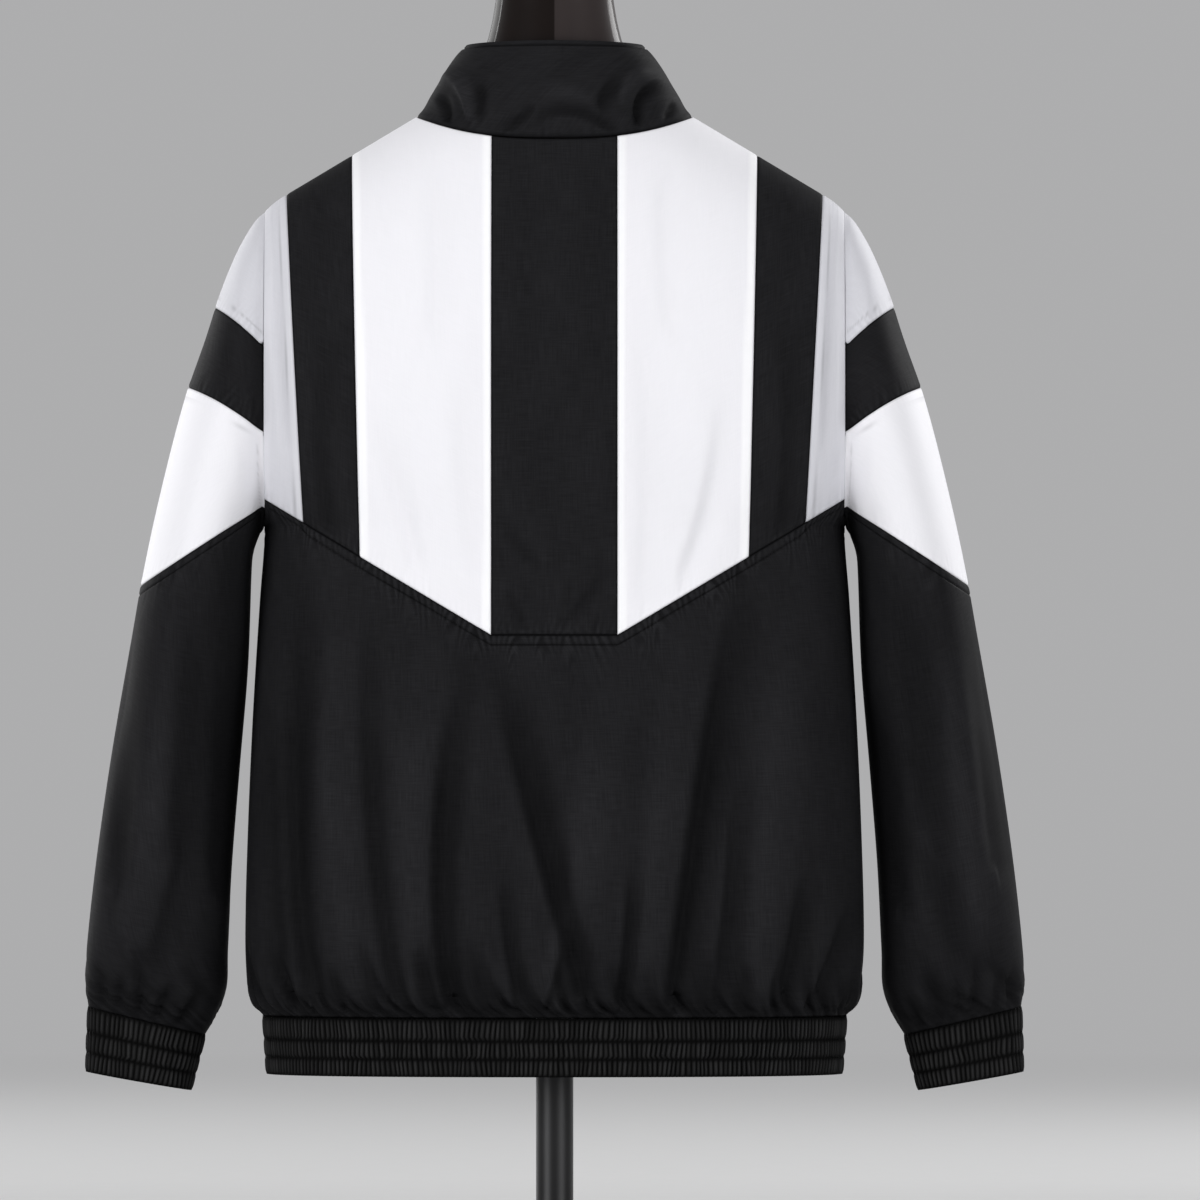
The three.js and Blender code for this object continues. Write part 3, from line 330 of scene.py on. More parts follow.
def nearest(line, points):
    """Each point's distance from a line of points, how far along that is, and on which hand."""
    best = np.full(len(points), np.inf)
    share, hand = np.zeros(len(points)), np.zeros(len(points))
    for k in range(len(line) - 1):
        run = line[k + 1] - line[k]
        f = np.clip(((points - line[k]) @ run) / (run @ run), 0, 1)
        off = points - line[k] - f[:, None] * run
        away = np.linalg.norm(off, axis=1)
        closer = away < best
        best = np.where(closer, away, best)
        share = np.where(closer, (k + f) / (len(line) - 1), share)
        hand = np.where(closer, run[0] * off[:, 1] - run[1] * off[:, 0], hand)
    return best, share, hand


def crease_depth(x, z, rows):
    """How far the listed creases move the cloth out. Each runs on a curve through three points.

    A trough sinks, steeply on one side and gently on the other, and starts wide and faint. A ridge
    has negative depth.
    """
    moved = np.zeros_like(x)
    t = np.linspace(0, 1, CREASE_POINTS)[:, None]
    for x0, z0, x1, z1, x2, z2, reach, depth in zip(*rows.values()):
        bend = [[2 * x1 - (x0 + x2) / 2, 2 * z1 - (z0 + z2) / 2]]
        line = (1 - t) ** 2 * [[x0, z0]] + 2 * t * (1 - t) * bend + t**2 * [[x2, z2]]
        low, high = line.min(0) - CREASE_EDGE * reach, line.max(0) + CREASE_EDGE * reach
        near = (x > low[0]) & (x < high[0]) & (z > low[1]) & (z < high[1])
        if not near.any():
            continue
        away, share, hand = nearest(line, np.stack([x[near], z[near]], -1))
        strength = smooth(-0.06, 0.5, share) * (1 - 0.3 * smooth(0.9, 1.0, share))
        side = np.where(hand > 0, STEEP, GENTLE)
        off = away / (reach * side * mix(1.25, 0.8, share))
        profile = (1 - 0.55 * off**2) * np.exp(-(off**2))
        moved[near] -= depth * strength * profile
    return moved


class Cloth:
    """A grid of cloth in millimetres. left, right, foot and head are distances from its edges."""

    def __init__(self, grid, round_about=False):
        self.grid = grid
        self.round_about = round_about
        self.smooth_grid = grid.copy()
        self.normal = normals_of(grid, round_about)
        self.left, self.foot = run_along(grid, 1), run_along(grid, 0)
        self.right = self.left[:, -1:] - self.left
        self.head = self.foot[-1:] - self.foot
        # How deep each point lies in troughs, weighted for the painted shade that its finish gives
        # it
        self.shade_depth = np.zeros_like(self.foot)

    def push(self, amount, shade=1.0):
        """Moves the cloth out along its own normals; shade is how much painted shade its dips get,
        and how much painted light its rises get.
        """
        self.grid = self.grid + self.normal * amount[..., None]
        self.shade_depth = self.shade_depth - amount * shade

    def shade(self, amount):
        """Paints shade on the cloth as if it were moved in, for folds too tight to model."""
        self.shade_depth = self.shade_depth - amount

    def fold(self):
        """How much painted shade the cloth gets, from -1, painted lighter on a ridge, to 1, painted
        darker in a trough.
        """
        return self.shade_depth / (np.abs(self.shade_depth) + FOLD_SHADE_HALF)

    def crease(self, rows, behind, strength, middle=0, shade=0.4):
        """Listed creases on the back or the front of a piece, with painted shade in their troughs
        and painted light on their ridges. The seams at its ends hold.
        """
        x, y, z = np.moveaxis(self.smooth_grid, -1, 0)
        side = (y - middle) if behind else (middle - y)
        free = 1.0
        for far, full in zip((side, self.foot, self.head), CREASES_FULL):
            free = free * smooth(0, full, far)
        self.push(strength * crease_depth(x, z, rows) * free, shade)

    def ditch(self, edge, deep=0.45, wide=1.1):
        """The cloth dips into a seam along one edge, with painted shade in the dip."""
        self.push(-deep * np.exp(-((getattr(self, edge) / wide) ** 2)))

    def groove(self, edge, away, deep, wide):
        """A line that stitching pulls in, some way from an edge, with painted shade in it."""
        self.push(-deep * np.exp(-(((getattr(self, edge) - away) / wide) ** 2)))

    def pucker(self, edge, seed, high, reach=7, pitch=6.8):
        """Short pleats that the sewing draws up beside an edge."""
        far = getattr(self, edge)
        run = {
            "foot": self.left[:1],
            "head": self.left[-1:],
            "left": self.foot[:, :1],
            "right": self.foot[:, -1:],
        }[edge]
        # The pleats stray along the edge, lean, and differ in depth and in reach.
        lean = 0.5 * far * wander(seed + 5, run, 9)
        bent = run + 2.2 * wander(seed, run, 13) + lean
        wave = np.cos(2 * math.pi * bent / pitch) * (0.55 + 0.45 * wander(seed + 9, run, 7))
        tall = reach * (1 + 0.6 * wander(seed + 7, run, 11))
        # The pleats' troughs get strong painted shade and their crests painted light.
        self.push(high * wave * np.exp(-far / tall) * smooth(0, 1.6, far), shade=5)


def to_frame(grid):
    """Millimetres in the garment to metres in the frame."""
    return (grid + [0, 0, HEM_HEIGHT]) * MM


def filled(bm, name):
    """A mesh from a bmesh that is then done with."""
    mesh = bpy.data.meshes.new(name)
    bm.to_mesh(mesh)
    bm.free()
    return mesh


def as_object(name, data, material=None):
    """An object for a mesh, light or camera. A mesh with a finish is also made smooth."""
    if material:
        data.polygons.foreach_set("use_smooth", np.ones(len(data.polygons), bool))
        data.materials.append(finish(material))
    obj = bpy.data.objects.new(name, data)
    bpy.context.scene.collection.objects.link(obj)
    return obj


def grid_mesh(name, cloth, marks):
    """A mesh of a cloth's points, with its distances in metres as the UV map, and its marks."""
    rows, columns = cloth.grid.shape[:2]
    bm = bmesh.new()
    bmesh.ops.create_grid(bm, x_segments=columns - 1, y_segments=rows - 1, size=0.5)
    mesh = filled(bm, name)
    co = np.empty(len(mesh.vertices) * 3)
    mesh.vertices.foreach_get("co", co)
    co = co.reshape(-1, 3)
    i = np.rint((co[:, 0] + 0.5) * (columns - 1)).astype(int)
    j = np.rint((co[:, 1] + 0.5) * (rows - 1)).astype(int)
    mesh.vertices.foreach_set("co", to_frame(cloth.grid[j, i]).ravel())
    corner = np.empty(len(mesh.loops), int)
    mesh.loops.foreach_get("vertex_index", corner)
    uv = np.stack([cloth.left[j, i][corner], cloth.foot[j, i][corner]], -1) * MM
    mesh.uv_layers.new(name="UVMap").data.foreach_set("uv", uv.ravel())
    for mark, values in marks.items():
        attribute = mesh.attributes.new(mark, "FLOAT", "POINT")
        attribute.data.foreach_set("value", values[j, i].astype(np.float32))
    return mesh


def cloth_object(name, cloth, material, marks=None, thick=0, rim=0):
    """A piece of cloth as an object: its outer face from the grid, and any wall under it."""
    mesh = grid_mesh(name, cloth, marks or {})
    if cloth.round_about:
        bm = bmesh.new()
        bm.from_mesh(mesh)
        bmesh.ops.remove_doubles(bm, verts=bm.verts, dist=WELD)
        bm.to_mesh(mesh)
        bm.free()
    obj = as_object(name, mesh, material)
    if thick:
        wall = obj.modifiers.new("Wall", "SOLIDIFY")
        wall.thickness = thick
        wall.offset = -1
    if rim:
        bevel = obj.modifiers.new("Rim", "BEVEL")
        bevel.width = rim
        bevel.segments = 3
        bevel.limit_method = "ANGLE"
        bevel.angle_limit = math.radians(60)
    return obj


def flat_size(cloth):
    """The width and length of a piece laid flat, in metres, and its area."""
    g = cloth.grid
    width = np.linalg.norm(np.diff(g, axis=1), axis=-1).sum(1).max() * MM
    length = np.linalg.norm(np.diff(g, axis=0), axis=-1).sum(0).max() * MM
    a, b = g[:-1, 1:] - g[:-1, :-1], g[1:, :-1] - g[:-1, :-1]
    area = np.linalg.norm(np.cross(a, b), axis=-1).sum() * MM * MM
    return (float(width), float(length)), float(area)


def belongs(obj, node=None, body=JACKET):
    """Hangs an object on what it rides on, and hides the node of the model that it stands for, if
    it is given.
    """
    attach(obj, body)
    if node:
        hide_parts(node)


def declare(obj, cloth, node):
    """Hangs the object of a sewn piece on the garment and hides the node that it stands for. Its
    flat size is worked out but not kept.
    """
    flat, area = flat_size(cloth)
    belongs(obj, node)


# ---- Materials ----


class Nodes:
    """A material's nodes, wired in few words."""

    def __init__(self, name):
        self.material = bpy.data.materials.new(name)
        self.material.use_nodes = True
        self.tree = self.material.node_tree
        self.shader = self.tree.nodes["Principled BSDF"]

    def add(self, kind, inputs=None, **settings):
        node = self.tree.nodes.new(kind)
        for key, value in settings.items():
            setattr(node, key, value)
        for key, value in (inputs or {}).items():
            self.feed(node.inputs[key], value)
        return node

    def feed(self, socket, value):
        if isinstance(value, bpy.types.NodeSocket):
            self.tree.links.new(value, socket)
        else:
            socket.default_value = value

    def set(self, **values):
        """Feeds the shader's own sockets, which are named in lower case with underscores."""
        for key, value in values.items():
            name = key.replace("_", " ").title().replace("Ior", "IOR")
            self.feed(self.shader.inputs[name], value)

    def mark(self, name):
        """A mark that the cloth carries, from 0 to 1, or from -1 for folds."""
        return self.add("ShaderNodeAttribute", attribute_name=name).outputs["Fac"]

    def place(self):
        """Where a point of the piece lies, in metres."""
        return self.add("ShaderNodeTexCoord").outputs["Object"]

    def noise(self, vector, scale, detail=2.0):
        """Noise with this many waves to a metre along each axis."""
        scaled = self.add("ShaderNodeMapping", {"Vector": vector, "Scale": scale}).outputs["Vector"]
        node = self.add("ShaderNodeTexNoise", {"Vector": scaled, "Scale": 1.0, "Detail": detail})
        return node.outputs["Fac"]

    def ramp(self, value, low, high, to_low, to_high):
        ends = {"From Min": low, "From Max": high, "To Min": to_low, "To Max": to_high}
        return self.add("ShaderNodeMapRange", {"Value": value, **ends}).outputs["Result"]

    def math(self, operation, a, b):
        return self.add("ShaderNodeMath", {0: a, 1: b}, operation=operation).outputs[0]

    def blend(self, share, a, b, kind="MIX"):
        node = self.tree.nodes.new("ShaderNodeMix")
        node.data_type = "RGBA"
        node.blend_type = kind
        sockets = {socket.identifier: socket for socket in node.inputs}
        for key, value in {"Factor_Float": share, "A_Color": a, "B_Color": b}.items():
            self.feed(sockets[key], value)
        return next(s for s in node.outputs if s.identifier == "Result_Color")

    def varied(self, share, rgb, spread):
        """A colour that varies by a spread to both sides of it, or between two lifts of it."""
        low, high = spread if isinstance(spread, tuple) else (1 - spread, 1 + spread)
        return self.blend(share, colour(rgb, low), colour(rgb, high))

    def bump(self, height, strength, distance, under=None):
        inputs = {"Height": height, "Strength": strength, "Distance": distance}
        if under is not None:
            inputs["Normal"] = under
        return self.add("ShaderNodeBump", inputs).outputs["Normal"]


def colour(rgb, lift=1.0):
    """A colour with its alpha, made lighter or darker by a lift."""
    return (*(min(1.0, c * lift) for c in rgb), 1.0)


def shell_cloth(name, rgb, doubled_rgb=None, sewn=0.3, dim=0.6, gloss=0.02, yarn=0.12):
    """Plain-woven polyester: fine yarns with slubs, with painted shade in its troughs and painted
    light on its ridges.
    Where marked, a seam allowance lies under it, and along seams and topstitching, where sewing
    pulls it in, it has painted shade."""
    n = Nodes(name)
    uv = n.add("ShaderNodeUVMap").outputs["UV"]
    warp = n.noise(uv, (1300, 45, 1), 4)
    weft = n.noise(uv, (60, 1250, 1), 4)
    slub = n.math("ADD", warp, weft)
    cloud = n.noise(uv, (30, 12, 1), 3)
    yarns, patches = n.ramp(slub, 0.75, 1.25, 0.0, 0.75), n.ramp(cloud, 0.35, 0.65, 0.0, 0.25)
    base = n.varied(n.math("ADD", yarns, patches), rgb, yarn)
    normal = n.bump(slub, 0.2, 0.0002)
    if doubled_rgb:
        doubled = n.mark("doubled")
        base = n.blend(doubled, base, colour(doubled_rgb))
        normal = n.bump(doubled, 0.6, 0.0003, normal)
    # Painted shade along seams and topstitching: the colour is darkened there to the share given by
    # sewn.
    base = n.blend(n.mark("seam"), base, colour(rgb, sewn))
    # Painted shade in the troughs of creases, gathers, pleats and seams, and painted light on their
    # ridges.
    lit = n.ramp(n.mark("fold"), -1, 1, 1 + dim, 1 - dim)
    grey = n.add("ShaderNodeCombineColor", dict.fromkeys(("Red", "Green", "Blue"), lit))
    base = n.blend(1.0, base, grey.outputs[0], "MULTIPLY")
    n.set(base_color=base, normal=normal, specular_ior_level=gloss)
    n.set(roughness=n.ramp(slub, 0.6, 1.4, 0.67, 0.57), sheen_weight=0.002, sheen_roughness=0.4)
    return n.material


def elastic_cloth(name, rgb):
    """Close yarn over rubber, with painted shade where it is marked as a gap between ribs or by the
    stitching.
    """
    n = Nodes(name)
    yarn = n.noise(n.add("ShaderNodeUVMap").outputs["UV"], (1500, 1500, 1), 4)
    base = n.blend(n.mark("gap"), n.varied(yarn, rgb, (0.8, 1.25)), colour(rgb, 0.05))
    n.set(base_color=base, normal=n.bump(yarn, 0.25, 0.0001))
    n.set(roughness=0.62, sheen_weight=0.004, specular_ior_level=0.03)
    return n.material


def lacquered(name, rgb, reflection_rgb):
    """Dark brown lacquer, with the wearer's right half painted a shade lighter, a painted
    reflection.
    """
    n = Nodes(name)
    place = n.place()
    grain = n.noise(place, (60, 60, 9), 4)
    # Painted reflection: the wearer's right half, on the -X side, takes the lighter colour.
    across = n.add("ShaderNodeSeparateXYZ", {"Vector": place}).outputs["X"]
    half = n.ramp(across, 0.0005, -0.0005, 0.0, 1.0)
    base = n.blend(half, n.varied(grain, rgb, 0.25), n.varied(grain, reflection_rgb, 0.15))
    n.set(base_color=base, roughness=0.45, normal=n.bump(grain, 0.05, 0.001))
    n.set(specular_ior_level=0.03, coat_weight=0.2, coat_roughness=0.08)
    return n.material


def speckled(name, rgb, size, spread, relief, **surface):
    """Moulded plastic or coated metal, with fine specks in its colour and its skin."""
    n = Nodes(name)
    speck = n.noise(n.place(), (size, size, size))
    n.set(base_color=n.varied(speck, rgb, spread), normal=n.bump(speck, relief, 0.0001), **surface)
    return n.material


def coated_metal(name, rgb, rough, metallic):
    return speckled(name, rgb, 1400, 0.15, 0.1, roughness=rough, metallic=metallic)


def plastic(name, rgb, rough, gloss):
    return speckled(name, rgb, 500, 0.1, 0.08, roughness=rough, specular_ior_level=gloss)


# Each finish: how it is made, the user's colours for it, and what sets it apart.
FINISHES = {
    "black_cloth": (shell_cloth, ("black",), {"yarn": 0.3}),
    "white_cloth": (
        shell_cloth,
        ("white", "doubled_white"),
        {"sewn": 0.75, "dim": 0.06, "gloss": 0.3, "yarn": 0.02},
    ),
    "grey_cloth": (
        shell_cloth,
        ("grey", "doubled_grey"),
        {"sewn": 0.7, "dim": 0.12, "gloss": 0.3, "yarn": 0.03},
    ),
    "ribbed_elastic": (elastic_cloth, ("elastic",), {}),
    "sewing_thread": (plastic, ("thread",), {"rough": 0.7, "gloss": 0.05}),
    "woven_tape": (elastic_cloth, ("zip_tape",), {}),
    "moulded_teeth": (plastic, ("zip_tape",), {"rough": 0.35, "gloss": 0.5}),
    "plated_metal": (coated_metal, ("zip_metal",), {"rough": 0.35, "metallic": 0.9}),
    "brown_lacquer": (lacquered, ("lacquer", "lacquer_reflection"), {}),
    "coated_steel": (coated_metal, ("steel",), {"rough": 0.4, "metallic": 0.6}),
}


def finish(name):
    """A finish by name, made when it is first asked for."""
    if name not in bpy.data.materials:
        make, colours, settings = FINISHES[name]
        look = bpy.context.scene.windbreaker_colours
        return make(name, *(getattr(look, key) for key in colours), **settings)
    return bpy.data.materials[name]


# ---- Stitching ----


def line_on(cloth, edge, away, where=None):
    """Points of the finished cloth and its normals on a line this far from one of its edges."""
    far, grid = getattr(cloth, edge), cloth.grid
    normal = normals_of(grid, cloth.round_about)
    if edge in ("left", "right"):
        far, grid, normal = far.T, grid.swapaxes(0, 1), normal.swapaxes(0, 1)
    if edge in ("right", "head"):
        far, grid, normal = far[::-1], grid[::-1], normal[::-1]
    points, normals = [], []
    for c in range(far.shape[1]):
        if far[-1, c] < 2 * away or (where is not None and not where[c]):
            continue
        points.append([np.interp(away, far[:, c], line) for line in grid[:, c].T])
        normals.append([np.interp(away, far[:, c], line) for line in normal[:, c].T])
    return np.array(points), np.array(normals)


STITCH_PROUD = 0.1  # how far a stitch's middle stands over the cloth, in threads


class Sewing:
    """Rows of stitches that lie on finished cloth, as one object of thread."""

    def __init__(self, name):
        self.name = name
        self.bm = bmesh.new()
        self.sizes = bpy.context.scene.windbreaker_cut

    def row(self, points, normals):
        """Stitches end to end along a line of points."""
        pitch = (self.sizes.stitch_length + self.sizes.stitch_gap) / MM
        run = run_along(points, 0)
        for start in np.arange(pitch / 2, run[-1] - pitch / 2, pitch):
            ends = start + pitch * np.array([-0.3, 0.3])
            a, b = (np.array([np.interp(end, run, line) for line in points.T]) for end in ends)
            out = Vector([np.interp(start, run, line) for line in normals.T]).normalized()
            along = Vector(b - a).normalized()
            side = out.cross(along)
            middle = Vector(to_frame((a + b) / 2)) + out * self.sizes.thread * STITCH_PROUD
            turn = Matrix((along, side, out)).transposed().to_4x4()
            half = (self.sizes.stitch_length / 2, self.sizes.thread / 2, self.sizes.thread / 2)
            place = Matrix.Translation(middle) @ turn @ Matrix.Diagonal((*half, 1))
            bmesh.ops.create_icosphere(self.bm, subdivisions=1, radius=1, matrix=place)

    def beside(self, cloth, edge, away, where=None):
        self.row(*line_on(cloth, edge, away, where))

    def done(self):
        obj = as_object(self.name, filled(self.bm, self.name), "sewing_thread")
        belongs(obj)


# ---- The body ----

LOWER_BACK_CREASES = table(
    CREASE,
    [
        (187, 372, 197, 200, 183, 56, 11, 5),
        (137, 366, 138, 215, 120, 62, 8, 3.2),
        (60, 322, 84, 188, 78, 52, 10, 5),
        (45, 318, 12, 190, -20, 66, 11, 6),
        (39, 156, 34, 107, 26, 50, 6.5, 3),
        (-143, 380, -113, 215, -89, 56, 12, 6),
        (-136, 235, -133, 150, -121, 54, 9, 2.8),
        (-188, 155, -181, 107, -171, 52, 8, 3.6),
        (-59, 168, -57, 112, -49, 56, 7, 3.6),
        (-224, 138, -209, 88, -189, 50, 7, 3),
        (222, 86, 207, 75, 195, 50, 5, 2.4),
        (208, 290, 212, 180, 206, 74, 12, 2.4),
        (104, 300, 108, 190, 101, 90, 14, -1.8),
        (-30, 290, -22, 180, 2, 80, 15, -2),
        (-86, 320, -76, 190, -62, 90, 14, -1.8),
        (-172, 330, -160, 200, -150, 80, 15, -2),
        (162, 330, 168, 200, 152, 90, 13, -1.6),
        (170, 82, 164, 66, 156, 48, 3.5, 2),
        (-8, 96, -2, 74, 6, 48, 4, 1.8),
        (98, 92, 94, 70, 86, 48, 4, 2),
        (-138, 90, -144, 70, -148, 48, 4, 1.8),
    ],
)
UPPER_BACK_CREASES = table(
    CREASE,
    [
        (-40, 380, -24, 358, -9, 340, 5, 1.6),
        (-35, 343, -31, 336, -24, 327, 3, 0.9),
        (37, 364, 30, 348, 22, 333, 4, 1.3),
        (139, 500, 118, 432, 104, 378, 9, 2.2),
        (60, 560, 66, 470, 58, 380, 14, 1.2),
        (-128, 520, -118, 440, -96, 374, 10, 2),
        (-62, 600, -70, 480, -66, 360, 14, 1.2),
        (-90, 690, -84, 640, -86, 560, 14, 1.1),
        (92, 690, 88, 640, 90, 560, 14, 1.1),
        (171, 560, 176, 480, 168, 388, 7, 1.2),
        (-168, 580, -174, 480, -166, 388, 7, 1.2),
        (44, 420, 30, 398, 14, 380, 6, 1),
        (-12, 372, -9, 355, -4, 334, 4, 0.8),
        (205, 640, 207, 560, 201, 470, 5, 1.2),
        (-206, 640, -206, 560, -201, 470, 5, 1.2),
    ],
)
LOWER_FRONT_CREASES = table(
    CREASE,
    [
        (182, 360, 188, 200, 172, 56, 11, 5),
        (122, 305, 118, 180, 128, 54, 9, 4),
        (52, 326, 62, 190, 70, 54, 10, 5),
        (30, 190, 34, 120, 28, 52, 7, 3),
        (-50, 320, -66, 180, -58, 54, 10, 5),
        (-28, 200, -24, 120, -30, 52, 7, 3),
        (-110, 260, -104, 150, -112, 52, 9, 4),
        (-176, 370, -168, 210, -155, 58, 11, 5),
        (-204, 180, -200, 110, -192, 52, 8, 3),
        (210, 170, 206, 110, 198, 52, 8, 3),
        (90, 310, 96, 200, 98, 90, 14, -1.8),
        (-86, 310, -86, 200, -84, 90, 14, -1.8),
        (150, 330, 152, 200, 148, 84, 14, -1.8),
        (-142, 330, -136, 200, -134, 84, 14, -1.8),
    ],
)
UPPER_FRONT_CREASES = table(
    CREASE,
    [
        (132, 520, 112, 430, 98, 376, 10, 2.2),
        (-130, 500, -110, 440, -100, 380, 10, 2),
        (66, 620, 62, 500, 70, 372, 13, 1.4),
        (-66, 600, -60, 500, -72, 372, 13, 1.4),
        (30, 600, 34, 500, 26, 360, 9, 1.2),
        (-28, 620, -32, 500, -26, 360, 9, 1.2),
        (166, 560, 172, 480, 166, 388, 7, 1.2),
        (-170, 560, -172, 480, -166, 388, 7, 1.2),
        (206, 640, 206, 560, 201, 470, 5, 1.2),
        (-206, 640, -206, 560, -201, 470, 5, 1.2),
    ],
)
EDGES = ("left", "right", "foot", "head")
STRIPE_COLOURS = {"centre": "black", "white": "white", "black": "black", "grey": "grey"}
# Where the white stripe's upper edge runs along the neckline, and then along the shoulder.
WHITE_TOPS = (47, 64, 80, 92, 100, NECK_POINT_X, 120, 136, 152)
DOUBLED_WIDTH = 7  # of the seam allowances that show through pale cloth
SEAM_SHADE = 0.9  # how far from a seam the painted shade reaches
STITCH_SHADE = 0.6  # and from the topstitching


def stripe_cloth(back, hand, i, step):
    """A stripe of the upper back or front, from the yoke seam to the neckline and the shoulder."""
    name, outer, top_outer = STRIPES[i]
    inner, top_inner = STRIPES[i - 1][1:] if i else (ZIP_GAP - PLAY, ZIP_GAP - PLAY)
    tops = WHITE_TOPS if name == "white" else (top_inner, top_outer)
    if back and not i:
        inner, tops = -outer, (-top_outer, top_outer)

    def surface(u, v):
        below = mix(inner + PLAY, outer - PLAY, u)
        above = np.interp(u, np.linspace(0, 1, len(tops)), tops) + mix(PLAY, -PLAY, u)
        start, ridge = yoke_seam(below) + PLAY, shoulder_line(above)
        top = np.where(np.abs(above) < NECK_POINT_X, neckline(back, above), ridge)
        arc = np.arcsin(np.minimum(1, (top - start) / (ridge - start)))
        share = np.sin(v * arc) / np.sin(arc)
        return body_point(back, hand * mix(below, above, share), mix(start, top, share))

    middle = np.linspace(0, 1, 200)
    tall = run_along(surface(np.full_like(middle, 0.5), middle), 0)[-1]
    columns = spaced(outer - inner, step, finest=0.7, edge=3.5)
    rows = spaced(tall, 2.2 * step, finest=0.8, edge=4)
    u, v = np.meshgrid(columns, rows)
    grid = surface(u, v)
    return Cloth(grid if back == (hand < 0) else grid[:, ::-1])


LOWER_TALL = 330  # about the height of the lower body, which its rows are spaced over


def lower_cloth(back, hands, from_x, step):
    """One side of the lower body, or the whole lower back, from the waistband to the yoke seam."""
    knots = (0, 2, 10, 13, 16, 17, 18)  # ends of the stripes, then two points down the armhole
    tops_x = (from_x, *(stripe[1] for stripe in STRIPES), ARMHOLE_X, ARMHOLE_X)
    tops_z = (*yoke_seam(np.array(tops_x[:5])), mix(YOKE_ARMHOLE_Z, UNDERARM_Z, 0.6), UNDERARM_Z)
    last = knots[-1]
    first = math.asin((from_x / BODY_SECTIONS["width"][0]) ** (BODY_SQUARE / 2))

    def surface(i, v):
        place = np.abs(i)
        x, top = np.interp(place, knots, tops_x), np.interp(place, knots, tops_z) - PLAY
        above = mix(angle_at(x - PLAY, top), math.pi / 2, np.clip(place - last + 1, 0, 1))
        below = mix(first, math.pi / 2, place / last)
        z = mix(BAND_TOP + PLAY, top, v)
        return body_point(back, across_at(np.sign(i) * mix(below, above, v), z), z)

    low = -last if -1 in hands else 1e-6
    high = last if 1 in hands else -1e-6
    places = evened(
        lambda i: surface(i, np.full_like(i, 0.5)), low, high, step, finest=0.8, edge=3
    )
    rows = spaced(LOWER_TALL, 4.8, finest=1.2, edge=17)
    i, v = np.meshgrid(places, rows)
    grid = surface(i, v)
    return Cloth(grid[:, ::-1] if back else grid)


# Wide tall gathers and fine ones between them: pitch, and the ranges of height, half width and
# depth.
GATHERS = (
    (15, (18, 42), (2.2, 4.0), (3.2, 5.8)),
    (5, (6, 17), (0.8, 1.3), (1.8, 3.4)),
)
GATHER_LEAN = 0.45
GATHER_APART = (0.7, 1.35)  # from one to the next, in pitches
# How strongly the gathers are painted: darker in their troughs, lighter on their ridges
GATHER_SHADE = 1.3
SWELL_AT, SWELL_REACH = 15, 13  # the cloth swells over a gathered edge
PINCH, PINCH_REACH = 1.3, 6  # and is drawn in beside it


def gathers(cloth, seed, size=1.0, bulge=1.8, facing=False):
    """Uneven creases that stand on a gathered edge. They spread out like a fan over the waistband;
    facing keeps them off the two sides of a sleeve instead."""
    pick = random.Random(seed)
    far = cloth.foot
    wide = cloth.left.max()
    moved = np.zeros(far.shape)
    for pitch, heights, halves, depths in GATHERS:
        at = pitch / 2
        while at < wide:
            tall, lean = pick.uniform(*heights), pick.uniform(-GATHER_LEAN, GATHER_LEAN)
            if not facing:
                lean = 0.6 * lean + (at / wide - 0.5)
            half, deep = pick.uniform(*halves), pick.uniform(*depths)
            off = cloth.left - at - lean * far
            steep = np.where(off * pick.choice((-1, 1)) > 0, 0.8, 1.7)
            off = off / (half * steep * (1 + far / tall))
            profile = deep * (1 - 0.4 * off**2) * np.exp(-(off**2))
            moved -= profile * np.exp(-((far / tall) ** 2))
            at += pitch * pick.uniform(*GATHER_APART)
    if facing:
        forward = np.abs(normals_of(cloth.smooth_grid)[..., 1])
        moved = moved * mix(0.3, 1, smooth(0.3, 0.85, forward))
    cloth.push(size * moved * smooth(-2, 20 if facing else 9, far), 0)
    # Painted shade in the gathers' troughs and painted light on their ridges, strong almost down to
    # the gathered edge, where the troughs themselves flatten out.
    cloth.shade(GATHER_SHADE * size * moved * smooth(-1, 1.5, far))
    swell = np.exp(-(((far - SWELL_AT) / SWELL_REACH) ** 2))
    swell = swell - PINCH * np.exp(-((far / PINCH_REACH) ** 2))
    cloth.push(bulge * swell, 0)


def marked(cloth, edges, doubled=(), stitched=None):
    """Where seams and topstitching get painted shade, how much painted shade or light the creases
    get, and where the seam allowances under pale cloth are.
    """

    def nearest_of(names):
        return np.min([getattr(cloth, name) for name in names], 0)

    # Painted shade along the seams and along the lines of topstitching
    seam = np.exp(-((nearest_of(edges) / SEAM_SHADE) ** 2))
    if stitched:
        edge, away = stitched
        off = getattr(cloth, edge) - away
        seam = np.maximum(seam, 0.8 * np.exp(-((off / STITCH_SHADE) ** 2)))
    marks = {"seam": seam, "fold": cloth.fold()}
    if doubled:
        near = nearest_of(doubled)
        marks["doubled"] = 1 - smooth(DOUBLED_WIDTH - 0.4, DOUBLED_WIDTH + 0.4, near)
    return marks


